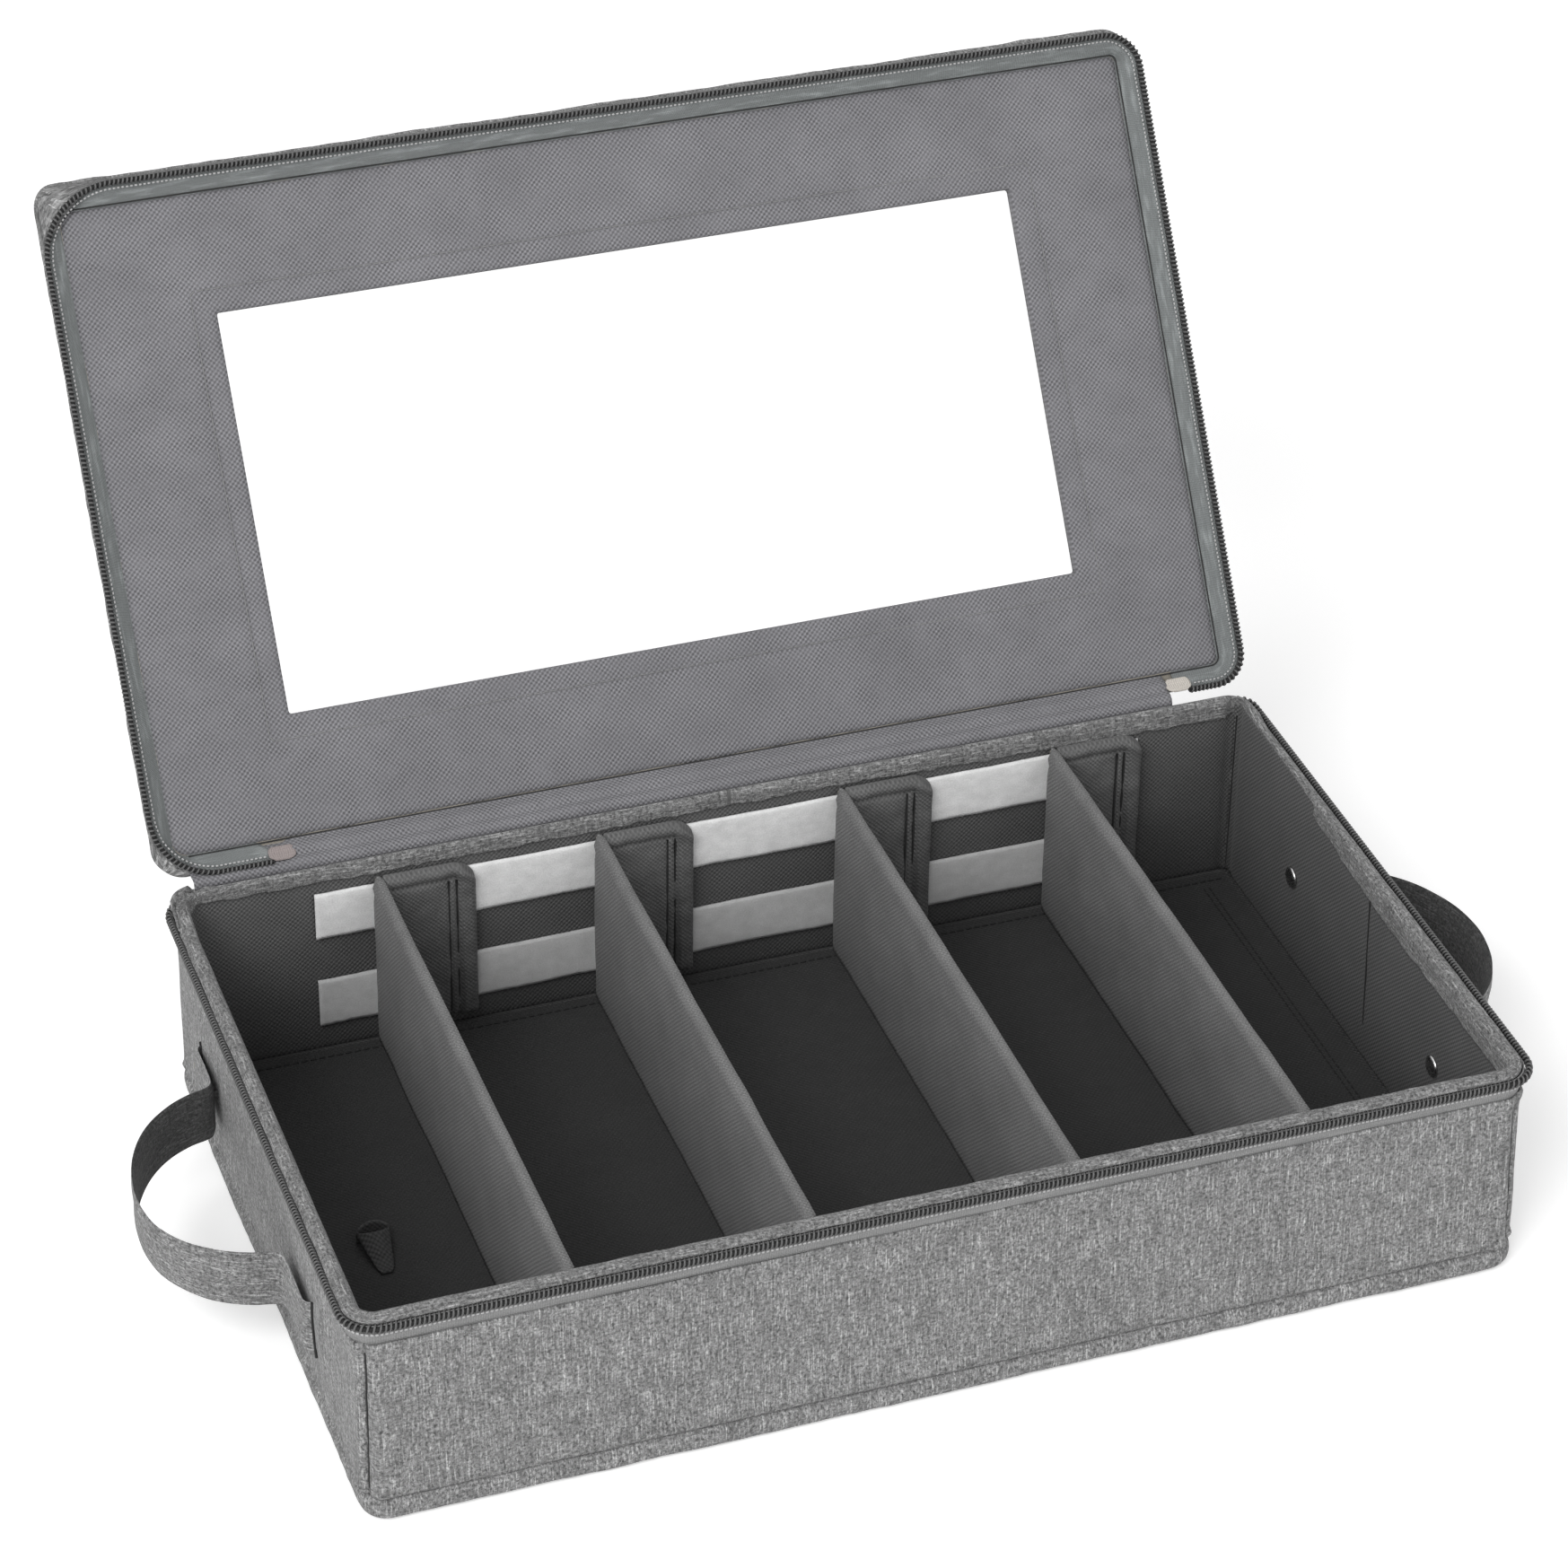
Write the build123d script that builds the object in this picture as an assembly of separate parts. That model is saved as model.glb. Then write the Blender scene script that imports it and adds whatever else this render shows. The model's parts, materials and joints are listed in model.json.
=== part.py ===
from build123d import *
import math
import os

# Fabric-covered silverware chest: a shallow zip-up box with a windowed lid, four movable
# dividers and two strap handles.  Millimetres, +Z up.  The origin is the centre of the
# underside, X runs along the length and -Y is the front.  The lid is modelled shut and then
# swung open about the hinge line, which is the pose at rest.

# ---------------------------------------------------------------- box
length = 400.0  # outside of the fabric walls, along X
depth = 234.0  # outside of the fabric walls, along Y
rim_height = 81.0  # table to the top of the bound rim
corner_radius = 9.0  # upright corners of the fabric
least_radius = 1.0  # smallest corner that a fold of fabric makes

cover_t = 1.2  # outer fabric
board_t = 1.6  # stiffening board in the walls
lining_t = 0.8  # inner fabric
binding_t = 0.6  # bound edge folded over the rim
bottom_board_t = 2.5
bottom_fold = 8.0  # height of the bottom fabric turned up round the walls
corner_gap = 9.0  # boards stop this far short of the box corners
fold_gap = 1.5  # crease between the two half boards of a side wall
side_seam = 4.0  # seam of the front and back panels, in from the box corner
hem_long = 6.0  # hem inside the front and back walls
hem_side = 13.0  # hem inside the side walls

# ---------------------------------------------------------------- floor insert
floor_board_t = 2.8
floor_cover_t = 0.6
floor_play = 0.8  # gap round the insert
tab_w = 12.0  # pull tab of the insert
tab_l = 18.0
tab_t = 1.2
tab_tip_w = 5.0
tab_x = -162.0
tab_y = -5.0

# ---------------------------------------------------------------- zip
coil_r = 1.3  # radius of the zip coil
coil_gap = 0.1  # coil to its tape
tape_t = 0.8
tape_drop = 6.4  # visible height of the base tape
coil_below_rim = 3.3  # rim top down to the base coil's centre
coil_rise = 4.3  # base coil's centre up to the lid coil's, lid shut
zip_end = 152.0  # zip stops here along the back edge, each side of the middle
slider_l = 11.0
slider_t = 4.2
slider_above = 2.6  # slider above the coil's centre
slider_below = 3.3  # slider below the coil's centre
slider_play = 0.3
slider_x = 160.0
lug_w = 1.6  # ears that carry the pull
pin_r = 0.7
eye_r = 1.5
pull_w = 6.0
pull_l = 24.0
pull_t = 1.2
pull_slot_w = 2.4
pull_slot_l = 9.0

# ---------------------------------------------------------------- lid
open_angle = 123.7  # shut to the pose at rest
lid_overhang = 1.0  # lid fabric outside the walls
lid_height = 11.0  # rim top to the outer face of the shut lid
lid_skirt_play = 0.2  # lower edge of the lid's side band above the zip tape
hinge_out = 3.7  # hinge line behind the back wall
hinge_up = 2.2  # hinge line above the rim
hinge_end_gap = 2.0  # hinge strip to the end of the zip
leaf_t = 0.8  # hinge fabric
leaf_base_h = 11.0  # hinge fabric sewn down the back wall
welt_r = 0.9  # sewn seam along the hinge line
welt_play = 0.4
lid_board_t = 3.0  # stiffening board in the lid
lid_board_play = 0.3
window_l = 294.0
window_d = 141.0
window_r = 1.5
film_t = 0.4
film_margin = 12.0  # clear film held between cover and board
lining_inset = 5.0  # wall face in to the lid lining
lid_tape_drop = 5.0  # lid lining down to the coil edge of the sloping tape
end_tab_w = 7.5
end_tab_t = 0.6
end_tab_in = 1.5  # end tab in from the wall face

# ---------------------------------------------------------------- dividers
divider_x = (-128.0, -48.0, 42.0, 123.0)
divider_t = 4.0
divider_board_t = 2.4
divider_below_rim = 3.0
divider_foot_gap = 0.5
flap_w = 33.0
flap_t = 2.2
flap_hem_w = 7.0
flap_hem_t = 0.9
flap_above_floor = 5.0
flap_below_rim = 5.0
flap_radius = 10.0
hook_t = 0.8
hook_play = 0.3
hook_margin = 2.0

# ---------------------------------------------------------------- hook-and-loop strips
strip_t = 0.8
strip_h = 19.0
strip_above_floor = 10.0
strip_below_rim = 7.1
strip_from = -150.5
strip_to = 156.0

# ---------------------------------------------------------------- handles
handle_z = 40.0  # middle of the strap
handle_reach = 41.0  # how far the loop stands out
handle_half = 48.0  # half the loop's width along the wall
strap_w = 22.0
strap_t = 1.6
strap_end_t = 2.4
slit_y = 74.0  # slit that takes the strap's end
slit_w = 2.0
slit_play = 0.2
swing_out = 2.0  # handle's swing axis outside the wall
swing_r = 15.8  # loop is cut free of its ends at this radius
swing_gap = 0.4
rivet_y = 58.5
rivet_head_r = 4.0
rivet_head_t = 1.3
rivet_shank_r = 1.6
rivet_play = 0.1
rivet_flange_t = 0.6

# ---------------------------------------------------------------- levels and faces worked out
half_x = length / 2
half_y = depth / 2
wall_t = cover_t + board_t + lining_t
inner_x = half_x - wall_t
inner_y = half_y - wall_t
bottom_board_z = cover_t
bottom_lining_z = bottom_board_z + bottom_board_t
insert_z = bottom_lining_z + lining_t
floor_z = insert_z + floor_board_t + floor_cover_t
wall_top = rim_height - binding_t
coil_out = tape_t + coil_gap + coil_r
base_coil_z = rim_height - coil_below_rim
lid_coil_z = base_coil_z + coil_rise
hinge_y = half_y + hinge_out
hinge_z = rim_height + hinge_up
lid_top = rim_height + lid_height
lid_board_top = lid_top - cover_t
lid_lining_top = lid_board_top - lid_board_t
lid_lining_z = lid_lining_top - lining_t
skirt_rise = (tape_t + cover_t - lid_overhang) / (tape_t + lining_inset) * lid_tape_drop
skirt_z = lid_lining_top - lid_tape_drop + skirt_rise + lid_skirt_play
hinge_half = zip_end - hinge_end_gap
lower_strip_z = floor_z + strip_above_floor
upper_strip_z = rim_height - strip_below_rim - strip_h
far = 2 * max(length, depth)  # longer than anything in the box

lid_axis = Axis((0, hinge_y, hinge_z), (1, 0, 0))
nodes = {}


# ---------------------------------------------------------------- helpers
def block(x0, x1, y0, y1, z0, z1):
    """A box between two corners."""
    middle = ((x0 + x1) / 2, (y0 + y1) / 2, (z0 + z1) / 2)
    return Pos(*middle) * Box(abs(x1 - x0), abs(y1 - y0), abs(z1 - z0))


def outline(inset):
    """Plan of the box, drawn in from the wall's outer face, or outside it when negative."""
    radius = max(corner_radius - inset, least_radius)
    return RectangleRounded(length - 2 * inset, depth - 2 * inset, radius)


def slab(inset, z0, z1):
    return Pos(0, 0, z0) * extrude(outline(inset), amount=z1 - z0)


def ring(outer, inner, z0, z1):
    return slab(outer, z0, z1) - slab(inner, z0, z1)


def mirrored(shape):
    """The same piece on the left side of the box."""
    return mirror(shape, about=Plane.YZ)


def to_front(shape):
    """The same piece on the front of the box."""
    return mirror(shape, about=Plane.XZ)


def x_rod(x0, x1, y, z, radius):
    """A round bar along X."""
    return Pos((x0 + x1) / 2, y, z) * Rot(0, 90, 0) * Cylinder(radius, x1 - x0)


def x_plate(x0, x1, start, end, thickness):
    """A flat plate along X that spans from start to end, both (y, z)."""
    dy, dz = end[0] - start[0], end[1] - start[1]
    middle = (start[0] + end[0]) / 2, (start[1] + end[1]) / 2
    tilt = math.degrees(math.atan2(dz, dy))
    return Pos((x0 + x1) / 2, *middle) * Rot(tilt, 0, 0) * Box(x1 - x0, math.hypot(dy, dz), thickness)


def lay_open(shape):
    """Swing a piece of the shut lid to its place at rest."""
    return shape.rotate(lid_axis, -open_angle)


# ---------------------------------------------------------------- base
def base_shell():
    bottom = slab(0, 0, cover_t)
    nodes["bottom_cover"] = bottom + ring(0, cover_t, cover_t, bottom_fold)
    nodes["bottom_board"] = slab(cover_t, bottom_board_z, bottom_lining_z)
    nodes["bottom_lining"] = slab(cover_t, bottom_lining_z, insert_z)

    cover = ring(0, cover_t, bottom_fold, wall_top)
    seam_x = half_x - side_seam
    nodes["front_cover"] = cover & block(-seam_x, seam_x, -far, 0, 0, far)
    nodes["back_cover"] = cover & block(-seam_x, seam_x, 0, far, 0, far)
    right = cover & block(seam_x, far, -far, far, 0, far)
    right -= rivet_holes(cover_t) + strap_slits()
    nodes["right_cover"] = right
    nodes["left_cover"] = mirrored(right)


def wall_boards():
    face = cover_t
    back = block(
        -half_x + corner_gap, half_x - corner_gap,
        half_y - face - board_t, half_y - face, insert_z, wall_top,
    )
    nodes["back_board"] = back
    nodes["front_board"] = to_front(back)
    whole = block(
        half_x - face - board_t, half_x - face,
        -half_y + corner_gap, half_y - corner_gap, insert_z, wall_top,
    )
    whole -= rivet_holes(wall_t)
    rear = whole & block(0, far, fold_gap / 2, far, 0, far)
    front = whole & block(0, far, -far, -fold_gap / 2, 0, far)
    nodes["right_board_rear"] = rear
    nodes["right_board_front"] = front
    nodes["left_board_rear"] = mirrored(rear)
    nodes["left_board_front"] = mirrored(front)


def wall_linings():
    sheet = ring(cover_t + board_t, wall_t, insert_z, wall_top)
    back = sheet & block(-inner_x, inner_x, 0, far, 0, far)
    nodes["back_lining"] = back
    nodes["front_lining"] = to_front(back)
    right = sheet & block(inner_x, far, -far, far, 0, far)
    right -= rivet_holes(wall_t)
    nodes["right_lining"] = right
    nodes["left_lining"] = mirrored(right)


def rim_binding():
    """Fabric edge folded over the rim, with a deeper hem on the side walls."""
    inner = wall_t + binding_t
    cap = ring(0, inner, wall_top, rim_height)
    leg = ring(wall_t, inner, rim_height - hem_side, wall_top)
    long_walls = block(-inner_x + binding_t, inner_x - binding_t, -far, far, 0, rim_height - hem_long)
    nodes["rim_binding"] = cap + (leg - long_walls)


def floor_insert():
    inset = wall_t + floor_play
    board_inset = inset + floor_cover_t
    nodes["floor_board"] = slab(board_inset, insert_z, insert_z + floor_board_t)
    cover = slab(inset, insert_z, floor_z)
    nodes["floor_cover"] = cover - slab(board_inset, insert_z, insert_z + floor_board_t)
    corners = (
        (tab_x + tab_w / 2, tab_y + tab_l / 2),
        (tab_x - tab_w / 2, tab_y + tab_l / 2),
        (tab_x - tab_tip_w / 2, tab_y - tab_l / 2),
        (tab_x + tab_tip_w / 2, tab_y - tab_l / 2),
    )
    tab = Polygon(*corners, align=None)
    nodes["floor_pull_tab"] = Pos(0, 0, floor_z) * extrude(tab, amount=tab_t)


def loop_strips():
    for level, z in (("lower", lower_strip_z), ("upper", upper_strip_z)):
        strip = block(strip_from, strip_to, inner_y - strip_t, inner_y, z, z + strip_h)
        nodes[f"back_loop_strip_{level}"] = strip
        nodes[f"front_loop_strip_{level}"] = to_front(strip)


# ---------------------------------------------------------------- zip
def coil(z):
    """Half of the zip: round three sides and both back corners, open along the hinge."""
    x, y = half_x + coil_out, half_y + coil_out
    route = FilletPolyline(
        (zip_end, y, z), (x, y, z), (x, -y, z), (-x, -y, z), (-x, y, z), (-zip_end, y, z),
        radius=corner_radius + coil_out,
    )
    return sweep(Plane(origin=(zip_end, y, z), z_dir=(1, 0, 0)) * Circle(coil_r), path=route)


def open_at_hinge(shape):
    """Cut a ring away where the hinge strip takes its place."""
    return shape - block(-zip_end, zip_end, 0, far, -far, far)


def base_zip():
    top = base_coil_z + coil_r
    nodes["base_zip_tape"] = open_at_hinge(ring(-tape_t, 0, top - tape_drop, top))
    nodes["base_zip_coil"] = coil(base_coil_z)


def zip_slider():
    """Slider parked at the zip's right rear end, with its pull hanging from two ears."""
    coil_y = half_y + coil_out
    inner_face = half_y + tape_t + slider_play
    outer_face = inner_face + slider_t
    x0, x1 = slider_x - slider_l / 2, slider_x + slider_l / 2
    z0, z1 = base_coil_z - slider_below, base_coil_z + slider_above
    body = block(x0, x1, inner_face, outer_face, z0, z1)
    channel = x_rod(x0, x1, coil_y, base_coil_z, coil_r + slider_play)
    channel += block(x0, x1, inner_face, coil_y, base_coil_z - coil_r - slider_play,
                     base_coil_z + coil_r + slider_play)
    pin_y = (inner_face + outer_face) / 2
    pin_z = z0 - eye_r - slider_play
    ears_x = pull_w / 2 + slider_play
    for side in (-1, 1):
        near = slider_x + side * ears_x
        ends = sorted((near, near + side * lug_w))
        body += block(*ends, pin_y - eye_r, pin_y + eye_r, pin_z - eye_r, z0)
    body -= channel
    body += x_rod(slider_x - ears_x, slider_x + ears_x, pin_y, pin_z, pin_r)
    nodes["zip_slider"] = body

    px0, px1 = slider_x - pull_w / 2, slider_x + pull_w / 2
    tongue = block(px0, px1, pin_y - pull_t / 2, pin_y + pull_t / 2, pin_z - pull_l, pin_z)
    tongue = fillet(tongue.edges().filter_by(Axis.Y).group_by(Axis.Z)[0], pull_w / 3)
    slot_z = pin_z - pull_l + pull_w / 2
    tongue -= block(slider_x - pull_slot_w / 2, slider_x + pull_slot_w / 2,
                    -far, far, slot_z, slot_z + pull_slot_l)
    eye = x_rod(px0, px1, pin_y, pin_z, eye_r)
    nodes["zip_pull"] = tongue + eye - x_rod(px0, px1, pin_y, pin_z, pin_r + slider_play / 3)


# ---------------------------------------------------------------- lid, modelled shut
def window(extra, z0, z1):
    """Prism of the window opening, grown by extra on each side."""
    shape = RectangleRounded(window_l + 2 * extra, window_d + 2 * extra, window_r + extra)
    return Pos(0, 0, z0) * extrude(shape, amount=z1 - z0)


def lid_panel():
    outside = -lid_overhang
    inside = outside + cover_t
    shell = slab(outside, lid_board_top, lid_top) + ring(outside, inside, skirt_z, lid_board_top)
    nodes["lid_cover"] = lay_open(shell - window(0, skirt_z, lid_top))
    film_z = lid_board_top - film_t
    board = slab(inside + lid_board_play, lid_lining_top, lid_board_top)
    board -= window(0, lid_lining_top, lid_board_top)
    board -= window(film_margin, film_z, lid_board_top)
    nodes["lid_board"] = lay_open(board)
    nodes["lid_window"] = lay_open(window(film_margin, film_z, lid_board_top))
    lining = slab(lining_inset, lid_lining_z, lid_lining_top)
    nodes["lid_lining"] = lay_open(lining - window(0, lid_lining_z, lid_lining_top))


def sloping_band(top_z, thickness):
    """Ring of tape that slopes from the coil in and up to the lid lining's edge."""
    def cone(z):
        low = Pos(0, 0, z - lid_tape_drop) * outline(-tape_t)
        high = Pos(0, 0, z) * outline(lining_inset)
        return loft([low, high], ruled=True)

    return cone(top_z) - cone(top_z - thickness) - slab(lining_inset, top_z - lid_tape_drop, top_z)


def lid_zip():
    band = sloping_band(lid_lining_top, tape_t)
    nodes["lid_zip_tape"] = lay_open(open_at_hinge(band))
    at_hinge = block(-zip_end, zip_end, 0, far, 0, far)
    nodes["hinge_inner_strip"] = lay_open(band & at_hinge)
    nodes["lid_zip_coil"] = lay_open(coil(lid_coil_z))
    under = sloping_band(lid_lining_top - tape_t, end_tab_t)
    y0, y1 = half_y - lining_inset, half_y - end_tab_in
    right = under & block(zip_end - end_tab_w / 2, zip_end + end_tab_w / 2, y0, y1, 0, far)
    nodes["lid_zip_end_tabs"] = lay_open(right + mirrored(right))


def hinge():
    """Fabric hinge: a strip sewn to the back wall, a strip sewn to the lid, one seam between."""
    seam = (hinge_y, hinge_z)
    root = (half_y + leaf_t, rim_height - leaf_t)
    base = block(-hinge_half, hinge_half, half_y, half_y + leaf_t, rim_height - leaf_base_h, root[1])
    base += x_plate(-hinge_half, hinge_half, (root[0] - leaf_t / 2, root[1] - leaf_t / 2), seam, leaf_t)
    base += x_rod(-hinge_half, hinge_half, *seam, welt_r)
    nodes["hinge_base_leaf"] = base

    face = half_y + lid_overhang
    foot = (face + leaf_t / 2, skirt_z + leaf_t * 2)
    run = math.dist(foot, seam)
    reach = (run - welt_r - welt_play) / run
    tip = tuple(a + (b - a) * reach for a, b in zip(foot, seam))
    leaf = block(-hinge_half, hinge_half, face, face + leaf_t, foot[1] - leaf_t / 2, lid_top - cover_t)
    leaf += x_plate(-hinge_half, hinge_half, foot, tip, leaf_t)
    nodes["hinge_lid_leaf"] = lay_open(leaf)


# ---------------------------------------------------------------- dividers
def divider(number, x):
    """Board in a fabric sleeve, with a flap at each end that carries hook tape."""
    wall_face = inner_y - strip_t - hook_play
    flap_face = wall_face - hook_t
    top = rim_height - divider_below_rim
    foot = floor_z + divider_foot_gap
    skin = (divider_t - divider_board_t) / 2
    x0, x1 = x - divider_t / 2, x + divider_t / 2
    sleeve = block(x0, x1, -flap_face, flap_face, foot, top)
    board = block(x0 + skin, x1 - skin, -flap_face + skin, flap_face - skin, foot, top - skin)
    sleeve -= board
    nodes[f"divider_{number}_board"] = board

    flap_z0, flap_z1 = floor_z + flap_above_floor, rim_height - flap_below_rim
    end = x1 + flap_w
    flap = block(x1, end, flap_face - flap_t, flap_face, flap_z0, flap_z1)
    hem_face = flap_face - flap_t - flap_hem_t
    flap += block(end - flap_hem_w, end, hem_face, flap_face, flap_z0, flap_z1)
    corner = flap.edges().filter_by(Axis.Y).group_by(Axis.Z)[-1].group_by(Axis.X)[-1]
    flap = fillet(corner, min(flap_radius, flap_hem_w - least_radius))
    nodes[f"divider_{number}_sleeve"] = sleeve + flap + to_front(flap)

    hooks = []
    for z in (lower_strip_z, upper_strip_z):
        high = min(z + strip_h, flap_z1) - hook_margin
        back = block(x1, end - hook_margin - flap_hem_w, flap_face, wall_face, z + hook_margin, high)
        hooks += [back, to_front(back)]
    nodes[f"divider_{number}_hook_tapes"] = Compound(children=[Part(h.wrapped) for h in hooks])


# ---------------------------------------------------------------- handles
def rivet_holes(inward):
    """Holes for the two rivets of the right-hand handle."""
    x0, x1 = half_x - inward - rivet_play, half_x + rivet_play
    hole = Rot(0, 90, 0) * Cylinder(rivet_shank_r + rivet_play, x1 - x0)
    middle = (x0 + x1) / 2
    return Pos(middle, rivet_y, handle_z) * hole + Pos(middle, -rivet_y, handle_z) * hole


def strap_slits():
    tall = strap_w / 2 + slit_play
    wide = slit_w / 2 + slit_play
    rear = block(half_x - cover_t, half_x, slit_y - wide, slit_y + wide, handle_z - tall, handle_z + tall)
    return rear + to_front(rear)


def strap_loop():
    """The whole right-hand loop: half an oval in plan, as wide as the strap in height."""
    def oval(grow):
        return Pos(half_x, 0, 0) * Ellipse(handle_reach + grow, handle_half + grow)

    plan = oval(strap_t / 2) - oval(-strap_t / 2)
    loop = Pos(0, 0, handle_z - strap_w / 2) * extrude(plan, amount=strap_w)
    return loop & block(half_x, far, -far, far, 0, far)


def swing_barrel(radius):
    """Cylinder round the handle's swing axis."""
    return Pos(half_x + swing_out, 0, handle_z) * Rot(90, 0, 0) * Cylinder(radius, far)


def handle():
    loop = strap_loop()
    swinging = loop - swing_barrel(swing_r)
    nodes["right_handle"] = swinging
    nodes["left_handle"] = mirrored(swinging)

    low, high = handle_z - strap_w / 2, handle_z + strap_w / 2
    stub = loop & swing_barrel(swing_r - swing_gap)
    stub = stub & block(half_x, far, 0, far, 0, far)
    end_y = slit_y + slit_w / 2
    flat = block(half_x, half_x + strap_end_t, handle_half - strap_t / 2, end_y, low, high)
    pocket = Pos(half_x + rivet_flange_t / 2, rivet_y, handle_z) * Rot(0, 90, 0)
    flat -= pocket * Cylinder(rivet_head_r + rivet_play, rivet_flange_t)
    tail = block(half_x - cover_t, half_x, slit_y - slit_w / 2, end_y, low, high)
    end = stub + flat + tail
    ends = Compound(children=[Part(end.wrapped), Part(to_front(end).wrapped)])
    nodes["right_handle_ends"] = ends
    nodes["left_handle_ends"] = mirrored(ends)

    axis_at = Pos(0, rivet_y, handle_z) * Rot(0, 90, 0)
    span = wall_t + rivet_flange_t
    shank = Pos(half_x - wall_t + span / 2, 0, 0) * axis_at * Cylinder(rivet_shank_r, span)
    flange = Pos(half_x + rivet_flange_t / 2, 0, 0) * axis_at * Cylinder(rivet_head_r, rivet_flange_t)
    head = Pos(inner_x - rivet_head_t / 2, 0, 0) * axis_at * Cylinder(rivet_head_r, rivet_head_t)
    head = fillet(head.edges().group_by(Axis.X)[0], rivet_head_t * 0.6)
    rivet = shank + flange + head
    pair = Compound(children=[Part(rivet.wrapped), Part(to_front(rivet).wrapped)])
    nodes["right_handle_rivets"] = pair
    nodes["left_handle_rivets"] = mirrored(pair)


# ---------------------------------------------------------------- build and write
base_shell()
wall_boards()
wall_linings()
rim_binding()
floor_insert()
loop_strips()
base_zip()
zip_slider()
lid_panel()
lid_zip()
hinge()
handle()
for number, x in enumerate(divider_x, start=1):
    divider(number, x)

os.makedirs("parts", exist_ok=True)
for name, shape in nodes.items():
    export_step(shape, f"parts/{name}.step")
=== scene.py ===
import json
import math

import bpy
import numpy as np
from mathutils import Matrix, Vector, noise


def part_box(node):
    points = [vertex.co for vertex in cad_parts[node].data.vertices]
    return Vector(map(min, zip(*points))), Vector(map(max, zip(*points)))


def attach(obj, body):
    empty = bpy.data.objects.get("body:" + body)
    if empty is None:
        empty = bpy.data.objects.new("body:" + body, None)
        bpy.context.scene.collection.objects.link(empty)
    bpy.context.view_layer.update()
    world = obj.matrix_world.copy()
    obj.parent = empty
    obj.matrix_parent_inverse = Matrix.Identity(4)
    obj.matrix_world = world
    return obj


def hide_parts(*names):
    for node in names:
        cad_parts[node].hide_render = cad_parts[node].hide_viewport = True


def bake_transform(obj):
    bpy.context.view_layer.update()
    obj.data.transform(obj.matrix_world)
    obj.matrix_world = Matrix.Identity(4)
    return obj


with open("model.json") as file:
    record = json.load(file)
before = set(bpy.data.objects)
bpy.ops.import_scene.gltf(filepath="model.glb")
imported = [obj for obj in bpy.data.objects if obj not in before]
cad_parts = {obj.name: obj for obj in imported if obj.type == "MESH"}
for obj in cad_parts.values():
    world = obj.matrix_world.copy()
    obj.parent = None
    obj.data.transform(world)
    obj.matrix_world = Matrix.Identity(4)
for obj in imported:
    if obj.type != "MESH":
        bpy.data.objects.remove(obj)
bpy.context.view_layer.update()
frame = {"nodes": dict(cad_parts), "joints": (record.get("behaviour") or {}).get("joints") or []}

# Lengths are millimetres in this script and become metres where a mesh is made.
MM = 0.001


# ---------------------------------------------------------------- sizes read from the frame
def box_mm(node):
    """Lowest and highest corner of a CAD node at rest."""
    low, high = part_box(node)
    return np.array(low) / MM, np.array(high) / MM


hinge_joint = next(j for j in frame["joints"] if j["name"] == "lid_hinge")
hinge_line = np.array(hinge_joint["pos_m"]) / MM
open_angle = -hinge_joint["range_deg"][0]


def turned(points, degrees):
    """Points swung about the hinge line, positive the way the lid opens."""
    angle = -math.radians(degrees)
    cosine, sine = math.cos(angle), math.sin(angle)
    arm = np.asarray(points, float) - hinge_line
    y, z = arm[..., 1], arm[..., 2]
    swung = np.stack([arm[..., 0], y * cosine - z * sine, y * sine + z * cosine], -1)
    return swung + hinge_line


def opened(points):
    """Points of the shut lid, carried to where the open lid holds them at rest."""
    return turned(points, open_angle)


def shut_box(node):
    """Lowest and highest corner of a lid node as if the lid were shut."""
    points = np.array([v.co for v in frame["nodes"][node].data.vertices], float) / MM
    points = turned(points, -open_angle)
    return points.min(0), points.max(0)


half_x = -box_mm("left_cover")[0][0]
half_y = -box_mm("front_cover")[0][1]
fold_z = box_mm("front_cover")[0][2]
rim_z = box_mm("rim_binding")[1][2]
hem_z = box_mm("rim_binding")[0][2]
tape_high = box_mm("base_zip_tape")[1][2]
coil_low, coil_high = box_mm("base_zip_coil")
coil_z = (coil_low[2] + coil_high[2]) / 2
coil_r = (coil_high[2] - coil_low[2]) / 2
coil_mid_out = coil_high[0] - half_x - coil_r
hinge_half = box_mm("hinge_base_leaf")[1][0]
zip_end = hinge_half + 2.0
floor_low, floor_high = box_mm("floor_cover")
lid_low, lid_high = shut_box("lid_cover")
film_high = shut_box("lid_window")[1]
lid_lining_low, lid_lining_high = shut_box("lid_lining")
lid_inset = half_x - lid_lining_high[0]
lid_tape_low = shut_box("lid_zip_tape")[0][2]
lid_coil_low, lid_coil_high = shut_box("lid_zip_coil")
lid_coil_z = (lid_coil_low[2] + lid_coil_high[2]) / 2
film_margin = 12.0  # the film reaches this far past the window's edge
slider_x = (box_mm("zip_slider")[0][0] + box_mm("zip_slider")[1][0]) / 2
window_x = film_high[0] - film_margin
window_y = film_high[1] - film_margin
wall_in = half_x - box_mm("right_lining")[0][0]
rim_in = wall_in + 0.6

# ---------------------------------------------------------------- sizes seen on the cloth itself
corner_r = 9.0  # upright corners
lid_corner_radii = (20.0, 24.0, 10.0, 9.0)  # the lid's zip sweeps wide at its two left corners
seam_in = 4.0  # front and back panels end this far in from the box corner
flare_long = 4.5  # lower edge of the front and back walls stands out
side_lean = 1.0  # lower edge of both side walls lies this far to the right
cover_top = 70.2  # folded upper edge of the wall cloth, on the zip tape
back_rise = 3.5  # the rim stands higher along the back, where the lid pulls on it
lining_corner_radii = (5.0, 5.0, 2.0, 3.0)
weave_pitch = 0.55
cover_thick, lining_thick, rim_thick, hinge_thick = 0.7, 0.5, 0.55, 0.6
zip_thick, tab_thick, loop_thick, hook_thick = 0.5, 0.8, 0.8, 0.7
seam_r = 0.3  # radius of the dark cord laid in seams and creases as painted shade of their grooves
slit_off = 74.0  # from the middle of a side wall to the puckers at each slit
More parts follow.
